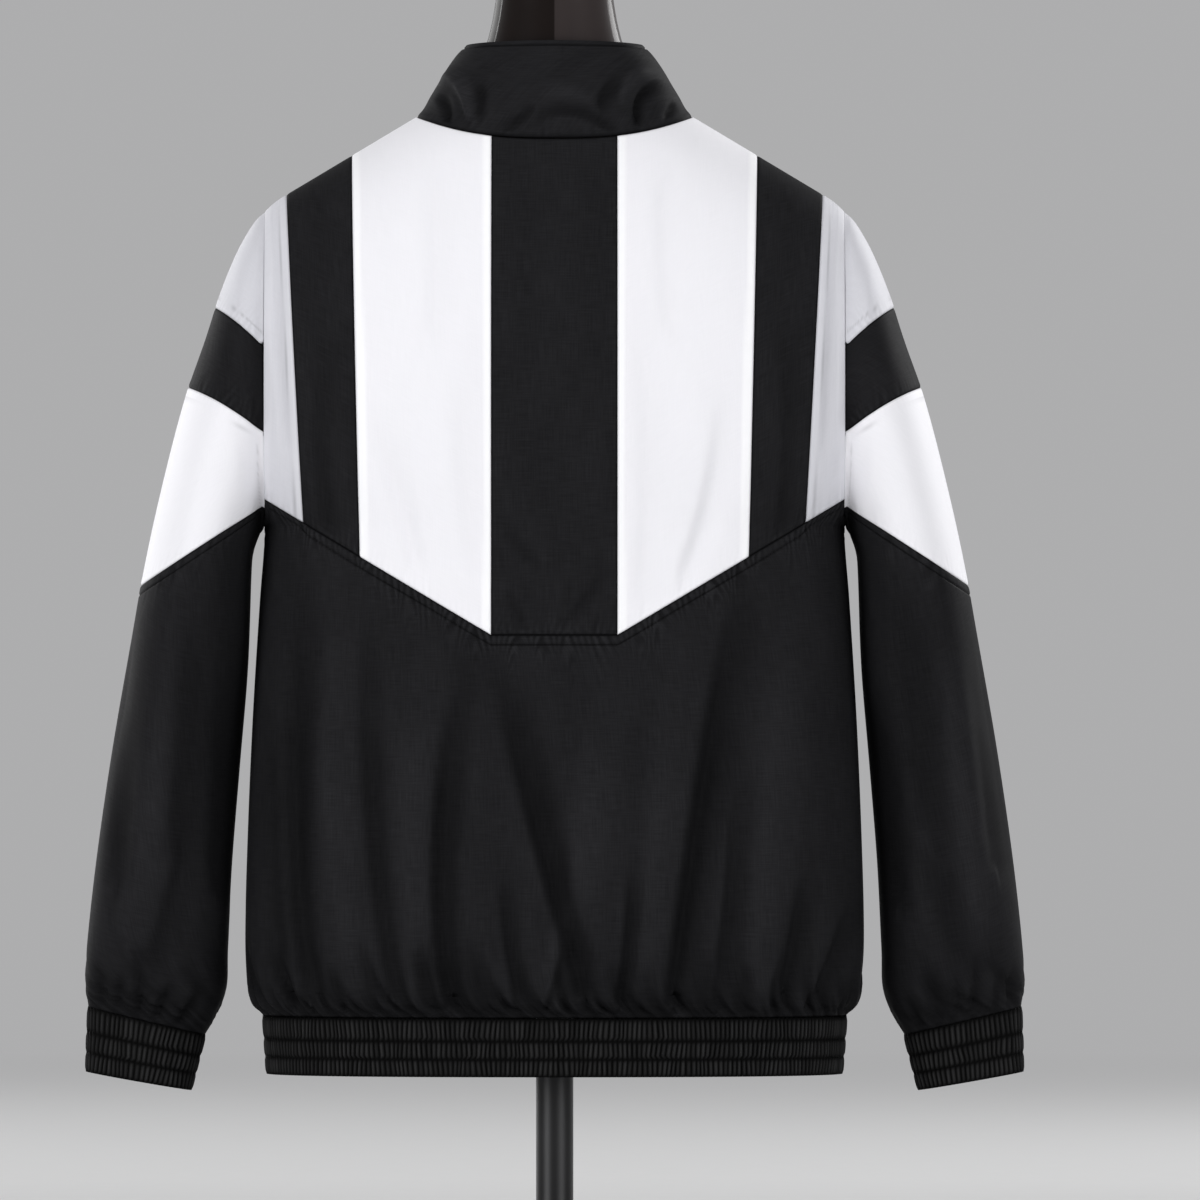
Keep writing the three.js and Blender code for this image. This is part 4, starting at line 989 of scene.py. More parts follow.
class WINDBREAKER_OT_upper_body(bpy.types.Operator):
    """Sews the stripes of the upper back and the fronts"""

    bl_idname = "windbreaker.upper_body"
    bl_label = "Upper back and fronts"

    def execute(self, context):
        for back in (True, False):
            for i in range(len(STRIPES)):
                # The centre stripe of the back is one piece, and all the others come in pairs.
                for hand in (1,) if back and not i else (1, -1):
                    self.stripe(context.scene.windbreaker_cut, back, i, hand)
        return {"FINISHED"}

    def stripe(self, cut, back, i, hand):
        """One stripe, seamed along its edges, but for the armhole, where it is topstitched."""
        name = STRIPES[i][0]
        side = "" if back and not i else "_L" if hand > 0 else "_R"
        node = ("back_" if back else "front_") + name + side
        cloth = stripe_cloth(back, hand, i, 2.2 if back else 2.9)
        cloth.crease(UPPER_BACK_CREASES if back else UPPER_FRONT_CREASES, back, cut.crease)
        outer, inner = ("left", "right") if back == (hand > 0) else ("right", "left")
        armhole = outer if name == "grey" else None
        seams = [edge for edge in EDGES if edge != armhole]
        for edge in EDGES:
            cloth.ditch(edge, 0.45 if edge in seams else 0.1)
        cloth.pucker("left", seed=3 + i, high=0.12, reach=5)
        cloth.pucker("right", seed=13 + i, high=0.12, reach=5)
        cloth.pucker("foot", seed=23 + i, high=0.5, pitch=5.6)
        doubled = ("left", "right") if name in ("white", "grey") else ()
        stitched = (inner, cut.topstitch / MM) if armhole else None
        marks = marked(cloth, seams, doubled, stitched)
        shade = STRIPE_COLOURS[name]
        obj = cloth_object(node + "_cloth", cloth, shade + "_cloth", marks, cut.cloth)
        declare(obj, cloth, node)


class WINDBREAKER_OT_lower_body(bpy.types.Operator):
    """Sews the lower back and fronts, gathered into the waistband and topstitched at the yoke"""

    bl_idname = "windbreaker.lower_body"
    bl_label = "Lower back and fronts"

    def execute(self, context):
        cut = context.scene.windbreaker_cut
        away = cut.topstitch / MM
        sewing = Sewing("yoke_topstitch")
        for node, back, hands, from_x, step, seed in (
            ("back_lower", True, (1, -1), 0, 1.35, 17),
            ("front_lower_L", False, (1,), ZIP_GAP, 2.3, 12),
            ("front_lower_R", False, (-1,), ZIP_GAP, 2.3, 10),
        ):
            cloth = lower_cloth(back, hands, from_x, step)
            cloth.crease(LOWER_BACK_CREASES if back else LOWER_FRONT_CREASES, back, cut.crease)
            gathers(cloth, seed)
            for edge in ("left", "right", "head"):
                cloth.ditch(edge)
            cloth.pucker("head", seed=41, high=1.1, reach=9, pitch=5.6)
            cloth.groove("head", away, deep=0.8, wide=0.9)
            marks = marked(cloth, ("foot", "head"), stitched=("head", away))
            obj = cloth_object(node + "_cloth", cloth, "black_cloth", marks, cut.cloth)
            declare(obj, cloth, node)
            on_yoke = np.abs(cloth.smooth_grid[-1, :, 0]) < ARMHOLE_X - 1
            sewing.beside(cloth, "head", away, on_yoke)
        sewing.done()
        return {"FINISHED"}


# ---- The sleeves ----

LEFT_SLEEVE_CREASES = table(
    CREASE,
    [
        (341, 82, 341, 66, 339, 51, 4, 2),
        (325, 78, 326, 66, 327, 50, 4, 1.8),
        (313, 98, 312, 76, 311, 44, 5, 2.6),
        (284, 74, 292, 56, 299, 38, 5, 2.4),
        (263, 66, 271, 52, 282, 36, 5, 2.4),
        (318, 350, 322, 260, 328, 150, 16, 2),
        (262, 380, 272, 280, 280, 170, 18, 2.6),
        (240, 330, 246, 240, 252, 140, 12, 2),
        (300, 300, 306, 210, 318, 110, 16, -2),
        (268, 200, 282, 140, 300, 84, 12, 2.2),
    ],
)
RIGHT_SLEEVE_CREASES = table(
    CREASE,
    [
        (-343, 84, -342, 66, -340, 50, 4, 2),
        (-331, 76, -330, 64, -330, 50, 3.5, 1.7),
        (-316, 92, -315, 72, -313, 46, 5, 2.4),
        (-297, 80, -301, 62, -304, 42, 4, 1.8),
        (-272, 78, -280, 58, -288, 38, 5, 2.4),
        (-258, 60, -266, 48, -274, 34, 4, 2),
        (-314, 356, -320, 260, -330, 160, 15, 2.2),
        (-258, 390, -266, 290, -278, 190, 18, 2.6),
        (-238, 300, -246, 220, -256, 130, 12, 2),
        (-296, 320, -304, 220, -316, 120, 16, -2),
        (-270, 180, -286, 130, -302, 84, 12, 2.2),
    ],
)
# The sleeve's pieces: name, upper seam, lower seam, colour and the step of its grid.
SLEEVE_BITS = (
    ("grey", None, 0, "grey", 2.8),
    ("black", 0, 1, "black", 2.8),
    ("white", 1, 2, "white", 2.8),
    ("lower", 2, None, "black", 2.9),
)
SLEEVE_MIDDLE_Y = -6
SEAM_HALF = 0.0015  # half a sleeve seam's width, in sections
TUCK_DEEP, TUCK_REACH = 0.9, 7


def sleeve_cloth(hand, upper, lower, step):
    """A band of the sleeve between two of its seams; the first starts at the armhole."""
    limit = 180 if lower is None else SLEEVE_SEAMS[lower][3] - 0.3
    at_middle = SLEEVE_END / 2 if lower is None else 2 + 1.5 * lower
    degrees = evened(
        lambda d: sleeve_point(np.full_like(d, at_middle), np.radians(d)), -limit, limit, step
    )
    top, end = np.zeros_like(degrees), np.full_like(degrees, SLEEVE_END)
    if upper is not None:
        top = seam_at(SLEEVE_SEAMS[upper], degrees)
    if lower is not None:
        end = seam_at(SLEEVE_SEAMS[lower], degrees) - SEAM_HALF
    top = np.where(top > 0, top + SEAM_HALF, 0)
    end = np.maximum(top, end)
    turns = np.radians(degrees)
    at = mix(end, top, np.linspace(0, 1, 300)[:, None])
    run = run_along(sleeve_point(at, np.broadcast_to(turns, at.shape)), 0)
    rows = spaced(run[-1].max(), 1.6 * step, finest=0.9, edge=22 if lower is None else 7)
    columns = [np.interp(rows * far[-1], far, down) for far, down in zip(run.T, at.T)]
    picked = np.stack(columns, 1)
    grid = sleeve_point(picked, np.broadcast_to(turns, picked.shape))
    if hand < 0:
        grid = grid[:, ::-1] * [-1, 1, 1]
    return Cloth(grid, round_about=lower is None)


def tuck_in(cloth, seed):
    """Draws the cloth in, unevenly, where it is set into the armhole, with painted shade in the
    dip.
    """
    x, _, z = np.moveaxis(cloth.smooth_grid, -1, 0)
    off = np.maximum(0, np.abs(x) - ARMHOLE_X)
    uneven = 0.75 + 0.4 * wander(seed, z, 26)
    cloth.push(-TUCK_DEEP * uneven * np.exp(-((off / TUCK_REACH) ** 2)), shade=1.7)


class WINDBREAKER_OT_sleeves(bpy.types.Operator):
    """Sews both sleeves from the armhole to the gathers over the cuff"""

    bl_idname = "windbreaker.sleeves"
    bl_label = "Sleeves"

    def execute(self, context):
        cut = context.scene.windbreaker_cut
        away = cut.topstitch / MM
        sewing = Sewing("sleeve_topstitch")
        for hand, side in ((1, "_L"), (-1, "_R")):
            creases = LEFT_SLEEVE_CREASES if hand > 0 else RIGHT_SLEEVE_CREASES
            for name, upper, lower, shade, step in SLEEVE_BITS:
                cloth = sleeve_cloth(hand, upper, lower, step)
                if lower is None:
                    for behind in (True, False):
                        cloth.crease(creases, behind, cut.crease, SLEEVE_MIDDLE_Y)
                    gathers(cloth, 61 + hand, size=0.8, bulge=0.5, facing=True)
                    cloth.pucker("head", seed=71 + hand, high=0.7, reach=9, pitch=6)
                    cloth.groove("head", away, deep=0.7, wide=0.9)
                else:
                    cloth.ditch("foot")
                    cloth.pucker("foot", seed=81 + hand, high=0.6, pitch=6)
                if name != "grey":
                    cloth.ditch("head")
                tuck_in(cloth, 75 + hand)
                if name == "white":
                    cloth.pucker("head", seed=91 + hand, high=0.4, reach=6, pitch=6)
                seams = ("foot",) if name == "grey" else ("foot", "head")
                stitched = None if name == "black" else (seams[-1], away)
                marks = marked(cloth, seams, stitched=stitched)
                node = "sleeve_" + name + side
                obj = cloth_object(node + "_cloth", cloth, shade + "_cloth", marks, cut.cloth)
                declare(obj, cloth, node)
                if lower is None:
                    off_armhole = np.abs(cloth.smooth_grid[-1, :, 0]) > ARMHOLE_X + 2
                    sewing.beside(cloth, "head", away, off_armhole)
        sewing.done()
        return {"FINISHED"}


# ---- Shirred elastic ----

BAND_LAP = 0.4  # how far the band reaches up under the body's lower edge
BAND_SECTIONS = table("z width back front", [(0, 216, 107.5, 111.5), (43, 219, 109.5, 113.5)])
CUFF_SECTIONS = table(
    "at outer_x outer_z inner_x inner_z depth shift",
    [(0, 352, 1, 272.5, -13, 24, -15), (1, 350.5, 49.9, 262, 28.9, 25, -14)],
)
# The three puffed rows between the lines of stitching, as shares of the band's height.
SHIRRED_ROWS = ((0.01, 0.295), (0.305, 0.605), (0.615, 0.985))
RIB_STEPS = (0, 0.11, 0.24, 0.5, 0.76, 0.89)  # points round one rib, close beside the dark gap


ROW_APART = 37.7  # ribs between the places in the noise that two rows are drawn from


def shirred_cloth(ring, ribs, seed, round_about, rib_height):
    """A band with ribs round it, drawn in at its stitching. ring gives the points of the band by
    their shares of its height and of the way round."""
    even = np.append((np.arange(ribs)[:, None] + RIB_STEPS).ravel() / ribs, 1)
    rows = np.unique(np.concatenate([np.linspace(a, b, 6) for a, b in SHIRRED_ROWS] + [[0, 1]]))
    fine = np.linspace(0, 1, 2000)
    run = run_along(ring(np.full_like(fine, 0.5), fine), 0)
    place, share = np.meshgrid(even, rows)
    puff = np.zeros_like(share)
    for low, high in SHIRRED_ROWS:
        t = np.clip((share - low) / (high - low), 0, 1)
        puff = np.maximum(puff, np.sin(math.pi * t) ** 0.35)
    # Ribs lean a little and wander, so that they don't run quite true from row to row.
    count = place * ribs
    at = count + np.floor(share * len(SHIRRED_ROWS)) * ROW_APART
    slant = share * 3 % 1 - 0.5
    jog = 0.3 * wander(seed, at, 3.1) + 0.5 * slant * wander(seed + 1, at, 4.3)
    inner = smooth(0, 0.02, place) * smooth(0, 0.02, 1 - place)
    rib = smooth(0.04, 0.44, 0.5 - np.abs(count % 1 - 0.5)) ** 0.9
    high = rib_height * (0.85 + 0.35 * wander(seed + 2, at, 1.3))
    turn = np.interp((place + jog * inner / ribs) * run[-1], run, fine)
    cloth = Cloth(ring(share, turn), round_about)
    cloth.push(0.2 * puff - 0.3 + high * (rib - 0.5) * (0.4 + 0.6 * puff))
    # Painted shade in the gaps between ribs and along the stitched lines between the puffed rows, a
    # little uneven from rib to rib.
    uneven_shade = 0.3 * wander(seed + 4, at, 0.9)
    gap = 1 - rib * puff * (0.8 + uneven_shade)
    return cloth, {"gap": np.clip(gap, 0, 1)}


def oval(section, angle, square):
    """x and y on a squared oval round the body, of a section's width, back and front."""
    deep = np.where(np.sin(angle) < 0, section["front"], section["back"])
    x = section["width"] * power(np.cos(angle), 2 / square)
    return x, deep * power(np.sin(angle), 2 / square)


def band_ring(share, turn):
    """From the zip's +X side round by the back to its -X side."""
    gap = math.asin((ZIP_GAP / BAND_SECTIONS["width"][1]) ** (BODY_SQUARE / 2))
    section = sample(BAND_SECTIONS, "z", BAND_TOP * share)
    angle = mix(-math.pi / 2 + gap, 1.5 * math.pi - gap, turn)
    x, y = oval(section, angle, BODY_SQUARE)
    return np.stack([x, y, (BAND_TOP + BAND_LAP) * share], -1)


def cuff_ring(hand):
    """Round the cuff from the underarm line, counterclockwise seen from above."""

    def ring(share, turn):
        section = sample(CUFF_SECTIONS, "at", share)
        angle = math.pi + 2 * math.pi * turn * hand
        across = (1 + power(np.cos(angle), 2 / SLEEVE_SQUARE)) / 2
        x = mix(section["inner_x"], section["outer_x"], across) + 2 * PLAY
        z = mix(section["inner_z"], section["outer_z"], across)
        y = section["shift"] + section["depth"] * power(np.sin(angle), 2 / SLEEVE_SQUARE)
        return np.stack([hand * x, y, z], -1)

    return ring


class WINDBREAKER_OT_elastic(bpy.types.Operator):
    """Makes the shirred waistband and cuffs, with their rows of stitching"""

    bl_idname = "windbreaker.elastic"
    bl_label = "Waistband and cuffs"

    def execute(self, context):
        cut = context.scene.windbreaker_cut
        sewing = Sewing("elastic_stitching")
        for node, ring, ribs, round_about, seed in (
            ("waistband", band_ring, cut.band_ribs, False, 9),
            ("cuff_L", cuff_ring(1), cut.cuff_ribs, True, 6),
            ("cuff_R", cuff_ring(-1), cut.cuff_ribs, True, 6),
        ):
            cloth, marks = shirred_cloth(ring, ribs, seed, round_about, cut.rib_height / MM)
            obj = cloth_object(node + "_elastic", cloth, "ribbed_elastic", marks, cut.elastic)
            declare(obj, cloth, node)
            tall = cloth.foot[-1].mean()
            for (_, low), (high, _) in zip(SHIRRED_ROWS, SHIRRED_ROWS[1:]):
                sewing.beside(cloth, "foot", tall * (low + high) / 2)
        sewing.done()
        return {"FINISHED"}


# ---- The collar ----

COLLAR_ROWS = table(
    "row width back front side_z back_z front_z",
    [
        (1, 98.5, 70.5, 85, 723, 706, 664),
        (2, 93.5, 72, 84.5, 732, 720, 677),
        (3, 87.5, 71, 82, 742, 736, 692),
        (4, 81, 68.5, 78, 753, 750, 706),
        (5, 73.5, 64.5, 72.5, 763.5, 763, 718),
        (6, 66, 61, 68, 771, 773, 727),
    ],
)
COLLAR_CREASES = table(
    CREASE,
    [
        (88, 734, 83, 726, 81, 714, 4, 2.4),
        (90, 740, 74, 742, 63, 716, 5, -2.8),
        (60, 742, 57, 732, 58, 716, 4, 1.6),
        (-86, 741, -66, 734, -62, 712, 4, 2.8),
        (-52, 747, -40, 736, -35, 724, 6, 1.6),
        (-90, 728, -87, 723, -83, 717, 3, 1.4),
        (-76, 748, -60, 748, -50, 730, 5, -1.8),
        (42, 702, 27, 711, 17, 720, 4, 1.2),
        (20, 705, -8, 719, -42, 705, 4, 1.3),
        (10, 728, -6, 733, -26, 727, 5, -0.8),
    ],
)
COLLAR_FRONT_CREASES = table(
    CREASE,
    [
        (86, 738, 72, 724, 60, 704, 5, 2),
        (-88, 736, -74, 720, -58, 702, 5, 2),
        (60, 742, 46, 726, 34, 700, 7, -1.4),
        (-58, 744, -44, 726, -34, 704, 7, -1.4),
        (40, 690, 26, 696, 14, 688, 4, 1.2),
    ],
)
COLLAR_STEP = 3
COLLAR_THICK, COLLAR_RIM = 2.4, 0.8
COLLAR_STITCH = 3.6  # how far the stitched line lies under the collar's upper edge


def neck_curve():
    """The neckline from the zip's +X side round by the back to its -X side, at even steps."""

    def point(place):
        # From 0 to 1 it is on the front, and from 1 to 2 on the back, as far as its middle.
        before = place < 1
        t = np.where(before, place, place - 1)
        rising = np.sin(mix(math.asin(ZIP_GAP / NECK_POINT_X), math.pi / 2, t))
        x = NECK_POINT_X * np.where(before, rising, np.cos(t * math.pi / 2))
        front = body_point(False, x, neckline(False, x))
        behind = body_point(True, x, neckline(True, x))
        return np.where(before[:, None], front, behind)

    half = point(evened(point, 0, 2, COLLAR_STEP))
    return np.concatenate([half, half[-2::-1] * [-1, 1, 1]])


def through(rows, at):
    """Points at places between rows of points, on smooth curves through them."""
    flat = rows.reshape(len(rows), -1)
    columns = {"at": np.arange(len(rows), dtype=float), **dict(enumerate(flat.T))}
    found = sample(columns, "at", at)
    whole = np.stack([found[k] for k in range(flat.shape[1])], -1)
    return whole.reshape(len(at), *rows.shape[1:])


def collar_cloth():
    """The collar from the neck seam up, with its two front edges upright beside the zip."""
    base = neck_curve()
    deepest = {"back": base[:, 1].max(), "front": -base[:, 1].min()}
    behind = base[:, 1] > 0
    share = np.abs(base[:, 1]) / np.where(behind, deepest["back"], deepest["front"])
    rows = [base + [0, 0, 2 * PLAY]]
    by_zip = np.abs(base[:, 0]) <= ZIP_GAP + 0.01
    for k in range(len(COLLAR_ROWS["row"])):
        row = {name: column[k] for name, column in COLLAR_ROWS.items()}
        x = np.where(by_zip, base[:, 0], base[:, 0] * row["width"] / NECK_POINT_X)
        x = np.where(behind, x, np.sign(base[:, 0]) * np.maximum(np.abs(x), ZIP_GAP))
        back, front = (row[side] / deepest[side] for side in ("back", "front"))
        y = base[:, 1] * np.where(behind, back, front)
        z = mix(row["side_z"], np.where(behind, row["back_z"], row["front_z"]), share**1.8)
        rows.append(np.stack([x, y, z], -1))
    rows = np.array(rows)
    middle = len(base) // 2
    at = evened(
        lambda t: through(rows, t)[:, middle], 0, len(rows) - 1, 2.2, finest=0.8, edge=6
    )
    return Cloth(through(rows, at))


class WINDBREAKER_OT_collar(bpy.types.Operator):
    """Makes the stand collar with its soft folds and rolled upper edge"""

    bl_idname = "windbreaker.collar"
    bl_label = "Stand collar"

    def execute(self, context):
        cut = context.scene.windbreaker_cut
        cloth = collar_cloth()
        cloth.crease(COLLAR_CREASES, True, 1.1 * cut.crease, shade=1)
        cloth.crease(COLLAR_FRONT_CREASES, False, 1.3 * cut.crease, shade=0.8)
        cloth.ditch("foot", deep=1.2, wide=2)
        cloth.pucker("foot", seed=5, high=0.2)
        cloth.groove("head", COLLAR_STITCH, deep=1.1, wide=0.8)
        marks = marked(cloth, ("foot",), stitched=("head", COLLAR_STITCH))
        thick, rim = COLLAR_THICK * MM, COLLAR_RIM * MM
        obj = cloth_object("collar_cloth", cloth, "black_cloth", marks, thick, rim)
        declare(obj, cloth, "collar")
        return {"FINISHED"}


# ---- The zip ----

ZIP_SUNK = 0.4  # how far the tapes lie behind the front edges' outer face
ZIP_CLEAR = 0.6  # between a tape's visible part and the front edge
TOOTH_PITCH = 2.8
TOOTH_SIZE = (3, 1.5, 0.46 * TOOTH_PITCH)
TOOTH_FIRST = 3
TOOTH_OFF, TOOTH_PROUD = 0.7, 0.45  # a tooth's middle from the zip's line, and over the tape
TOOTH_BEVEL, PULL_BEVEL = 0.22, 0.3
SHARP = 0.5  # radians between two faces, over which their edge is rounded


def front_edge(z):
    """Distance of the front edges' outer face from the plane of the side seams, at a height."""
    z = np.asarray(z, float)
    band = sample(BAND_SECTIONS, "z", z)["front"]
    foot = abs(body_point(False, np.array(ZIP_GAP), np.array(NECK_FRONT_Z))[1])
    heights = np.append(NECK_FRONT_Z, COLLAR_ROWS["front_z"])
    collar = sample({"z": heights, "front": np.append(foot, COLLAR_ROWS["front"])}, "z", z)["front"]
    body = np.abs(body_point(False, np.full_like(z, ZIP_GAP), z)[..., 1])
    return np.where(z <= BAND_TOP, band, np.where(z <= NECK_FRONT_Z, body, collar))


def rounded(bm, edges, offset, segments, **more):
    """Bevels edges by an offset in millimetres."""
    bmesh.ops.bevel(
        bm,
        geom=edges,
        offset=offset * MM,
        segments=segments,
        profile=0.5,
        affect="EDGES",
        material=-1,
        **more,
    )


class WINDBREAKER_OT_zip(bpy.types.Operator):
    """Makes the zip's tapes and moulded teeth, and rounds its slider and pull"""

    bl_idname = "windbreaker.zip"
    bl_label = "Zip"

    def execute(self, context):
        cut = context.scene.windbreaker_cut
        top = COLLAR_ROWS["front_z"][-1] - 1
        for hand, side in ((1, "_L"), (-1, "_R")):
            across = hand * np.linspace(0.2, ZIP_GAP - ZIP_CLEAR, 5)[::hand]
            x, z = np.meshgrid(across, spaced(top - 1, 5) * (top - 1) + 1)
            cloth = Cloth(np.stack([x, -(front_edge(z) - ZIP_SUNK), z], -1))
            name = "zip_tape_cloth" + side
            obj = cloth_object(name, cloth, "woven_tape", thick=cut.cloth)
            belongs(obj, "zip_tape" + side)
            (_, length), area = flat_size(cloth)
            self.teeth(hand, side, top)
        for node, body in (("zip_slider", JACKET), ("zip_pull", PULL)):
            bm = bmesh.new()
            bm.from_mesh(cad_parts[node].data)
            bmesh.ops.remove_doubles(bm, verts=bm.verts, dist=WELD)
            flat = math.radians(1)
            bmesh.ops.dissolve_limit(bm, angle_limit=flat, verts=bm.verts, edges=bm.edges)
            sharp = [e for e in bm.edges if len(e.link_faces) == 2 and e.calc_face_angle() > SHARP]
            rounded(bm, sharp, PULL_BEVEL, 2, clamp_overlap=True)
            name = node + "_rounded"
            belongs(as_object(name, filled(bm, name), "plated_metal"), node, body)
        return {"FINISHED"}

    def teeth(self, hand, side, top):
        """A row of moulded teeth up one tape, half a pitch out of step with the other's."""
        bm = bmesh.new()
        for at in np.arange(TOOTH_FIRST + TOOTH_PITCH * (hand > 0) / 2, top - 1, TOOTH_PITCH):
            slope = math.atan(float(front_edge(at + 1) - front_edge(at - 1)) / 2)
            out = Vector((0, -math.cos(slope), -math.sin(slope)))
            y = -float(front_edge(at) - ZIP_SUNK)
            foot = Vector((hand * TOOTH_OFF, y, at + HEM_HEIGHT)) * MM
            place = Matrix.Translation(foot + out * TOOTH_PROUD * MM)
            place = place @ Matrix.Rotation(-slope, 4, "X")
            size = Vector(TOOTH_SIZE) * MM
            bmesh.ops.create_cube(bm, size=1, matrix=place @ Matrix.Diagonal((*size, 1)))
        rounded(bm, bm.edges[:], TOOTH_BEVEL, 1)
        name = "zip_teeth" + side
        belongs(as_object(name, filled(bm, name), "moulded_teeth"))


# ---- The dress form and its stand ----

FORM_CLOTH = 1.5  # the cloth over the form's shoulders
FORM_CLEAR = 0.8  # between the form and that cloth
END_INSET = 3


def form_width(z):
    """Half the form's width on its shoulders, just under the cloth's shoulder line."""
    cloth_below = FORM_CLOTH / math.cos(math.atan(SHOULDER_SLOPE))
    return NECK_POINT_X + (NECK_POINT_Z - z - cloth_below - FORM_CLEAR) / SHOULDER_SLOPE


FORM_SECTIONS = table(
    "z width back front square",
    [
        (88, 150, 78, 82, 2.1),
        (95, 163, 89, 93, 2.1),
        (130, 170, 95, 98, 2.1),
        (190, 172, 96, 98, 2.1),
        (250, 164, 89, 92, 2.1),
        (310, 158, 85, 90, 2.1),
        (380, 165, 91, 100, 2.1),
        (450, 178, 96, 106, 2.1),
        (520, 189, 94, 101, 2.05),
        (580, 197, 84, 88, 2),
        (622, 200, 71, 75, 1.9),
        (645, 200.5, 62, 68, 1.75),
        (657, form_width(657), 58, 64, 1.65),
        (680, form_width(680), 54, 58, 1.6),
        (705, form_width(705), 49, 52, 1.6),
        (712, form_width(712), 48, 50, 1.65),
        (719, 91, 47, 49, 1.75),
        (730, 76, 46.5, 48, 1.9),
        (742, 67, 46, 47.5, 2),
        (756, 58.5, 45.5, 47, 2),
        (771, 51.5, 44.5, 46, 2),
        (788, 47, 43, 44, 2),
        (806, 44, 41, 42, 2),
        (824, 42, 40, 40, 2),
        (830, 38, 36, 36, 2),
    ],
)


class WINDBREAKER_OT_form(bpy.types.Operator):
    """Makes the lacquered dress form that the garment hangs on"""

    bl_idname = "windbreaker.dress_form"
    bl_label = "Dress form"

    def execute(self, context):
        low, high = FORM_SECTIONS["z"][[0, -1]]
        angles = np.linspace(0, 2 * math.pi, ROUND_STEPS + 1)
        heights = low + spaced(high - low, 7, finest=1.5, edge=12) * (high - low)
        angle, z = np.meshgrid(angles, heights)
        section = sample(FORM_SECTIONS, "z", z)
        skin = Cloth(np.stack([*oval(section, angle, section["square"]), z], -1), round_about=True)
        obj = cloth_object("dress_form_shell", skin, "brown_lacquer")
        bm = bmesh.new()
        bm.from_mesh(obj.data)
        ends = [e for e in bm.edges if e.is_boundary]
        caps = bmesh.ops.holes_fill(bm, edges=ends, sides=0)["faces"]
        bmesh.ops.inset_region(bm, faces=caps, thickness=END_INSET * MM, depth=0)
        bmesh.ops.triangulate(bm, faces=[f for f in bm.faces if len(f.verts) > 4])
        bmesh.ops.recalc_face_normals(bm, faces=bm.faces)
        bm.to_mesh(obj.data)
        bm.free()
        belongs(obj, "dress_form")
        return {"FINISHED"}


# The outlines that are turned, as radius and height over the floor.
BASE_PROFILE = ((0, 0), (149, 0), (150, 1), (150, 8), (149.4, 9.4), (148, 10), (0, 10))
POLE_PROFILE = (
    (0, 10.3),
    (27.4, 10.3),
    (28, 11),
    (28, 14.4),
    (27.2, 15.3),
    (16.2, 18.6),
    (14, 20.4),
    (14, 197.4),
    (16.5, 199.4),
    (41.2, 202.3),
    (42, 203.2),
    (42, 207.1),
    (41.4, 207.7),
    (0, 207.7),
)


class WINDBREAKER_OT_stand(bpy.types.Operator):
    """Turns the steel base and the pole with its two flanges"""

    bl_idname = "windbreaker.stand"
    bl_label = "Stand"

    def execute(self, context):
        for node, profile in (("stand_base", BASE_PROFILE), ("stand_pole", POLE_PROFILE)):
            bm = bmesh.new()
            verts = [bm.verts.new((radius * MM, 0, z * MM)) for radius, z in profile]
            edges = [bm.edges.new(pair) for pair in zip(verts, verts[1:])]
            bmesh.ops.spin(
                bm,
                geom=verts + edges,
                axis=(0, 0, 1),
                cent=(0, 0, 0),
                angle=2 * math.pi,
                steps=ROUND_STEPS,
                use_merge=True,
            )
            bmesh.ops.remove_doubles(bm, verts=bm.verts, dist=WELD)
            bmesh.ops.recalc_face_normals(bm, faces=bm.faces)
            name = node + "_turned"
            obj = as_object(name, filled(bm, name), "coated_steel")
            sharp = obj.modifiers.new("Edges", "WEIGHTED_NORMAL")
            sharp.keep_sharp = True
            belongs(obj, node)
        return {"FINISHED"}


# ---- The studio ----


STUDIO_MIDDLE = Vector((0, 0, 0.5))
# Each soft light: its place from the garment's middle, width, height and share of the power.
LIGHTS = {
    "key": ((3.0, 2.7, 0.2), 2.2, 1.8, 1.0),
    "fill": ((-2.8, 3.0, 0.2), 2.6, 2.0, 0.85),
    "front": ((-2.6, -2.7, 1.5), 1.8, 1.8, 0.9),
    "front_fill": ((2.4, -3.2, 0.8), 2.6, 2.6, 0.55),
    "top": ((0, 1.0, 3.0), 2.0, 2.0, 0.2),
    "strip_left": ((3.3, -2.1, 1.0), 0.25, 2.0, 0.2),
    "strip_right": ((-3.3, -2.1, 1.0), 0.15, 2.0, 0.05),
}
FLOOR_RADIUS = 30
FLOOR_FADES = (1.2, 5.0)  # distances over which the floor turns into the surround
CAMERA_LENS = 500
CAMERA_PLACE = (-0.034, 12.5, 0.475)
CAMERA_FAR = 100


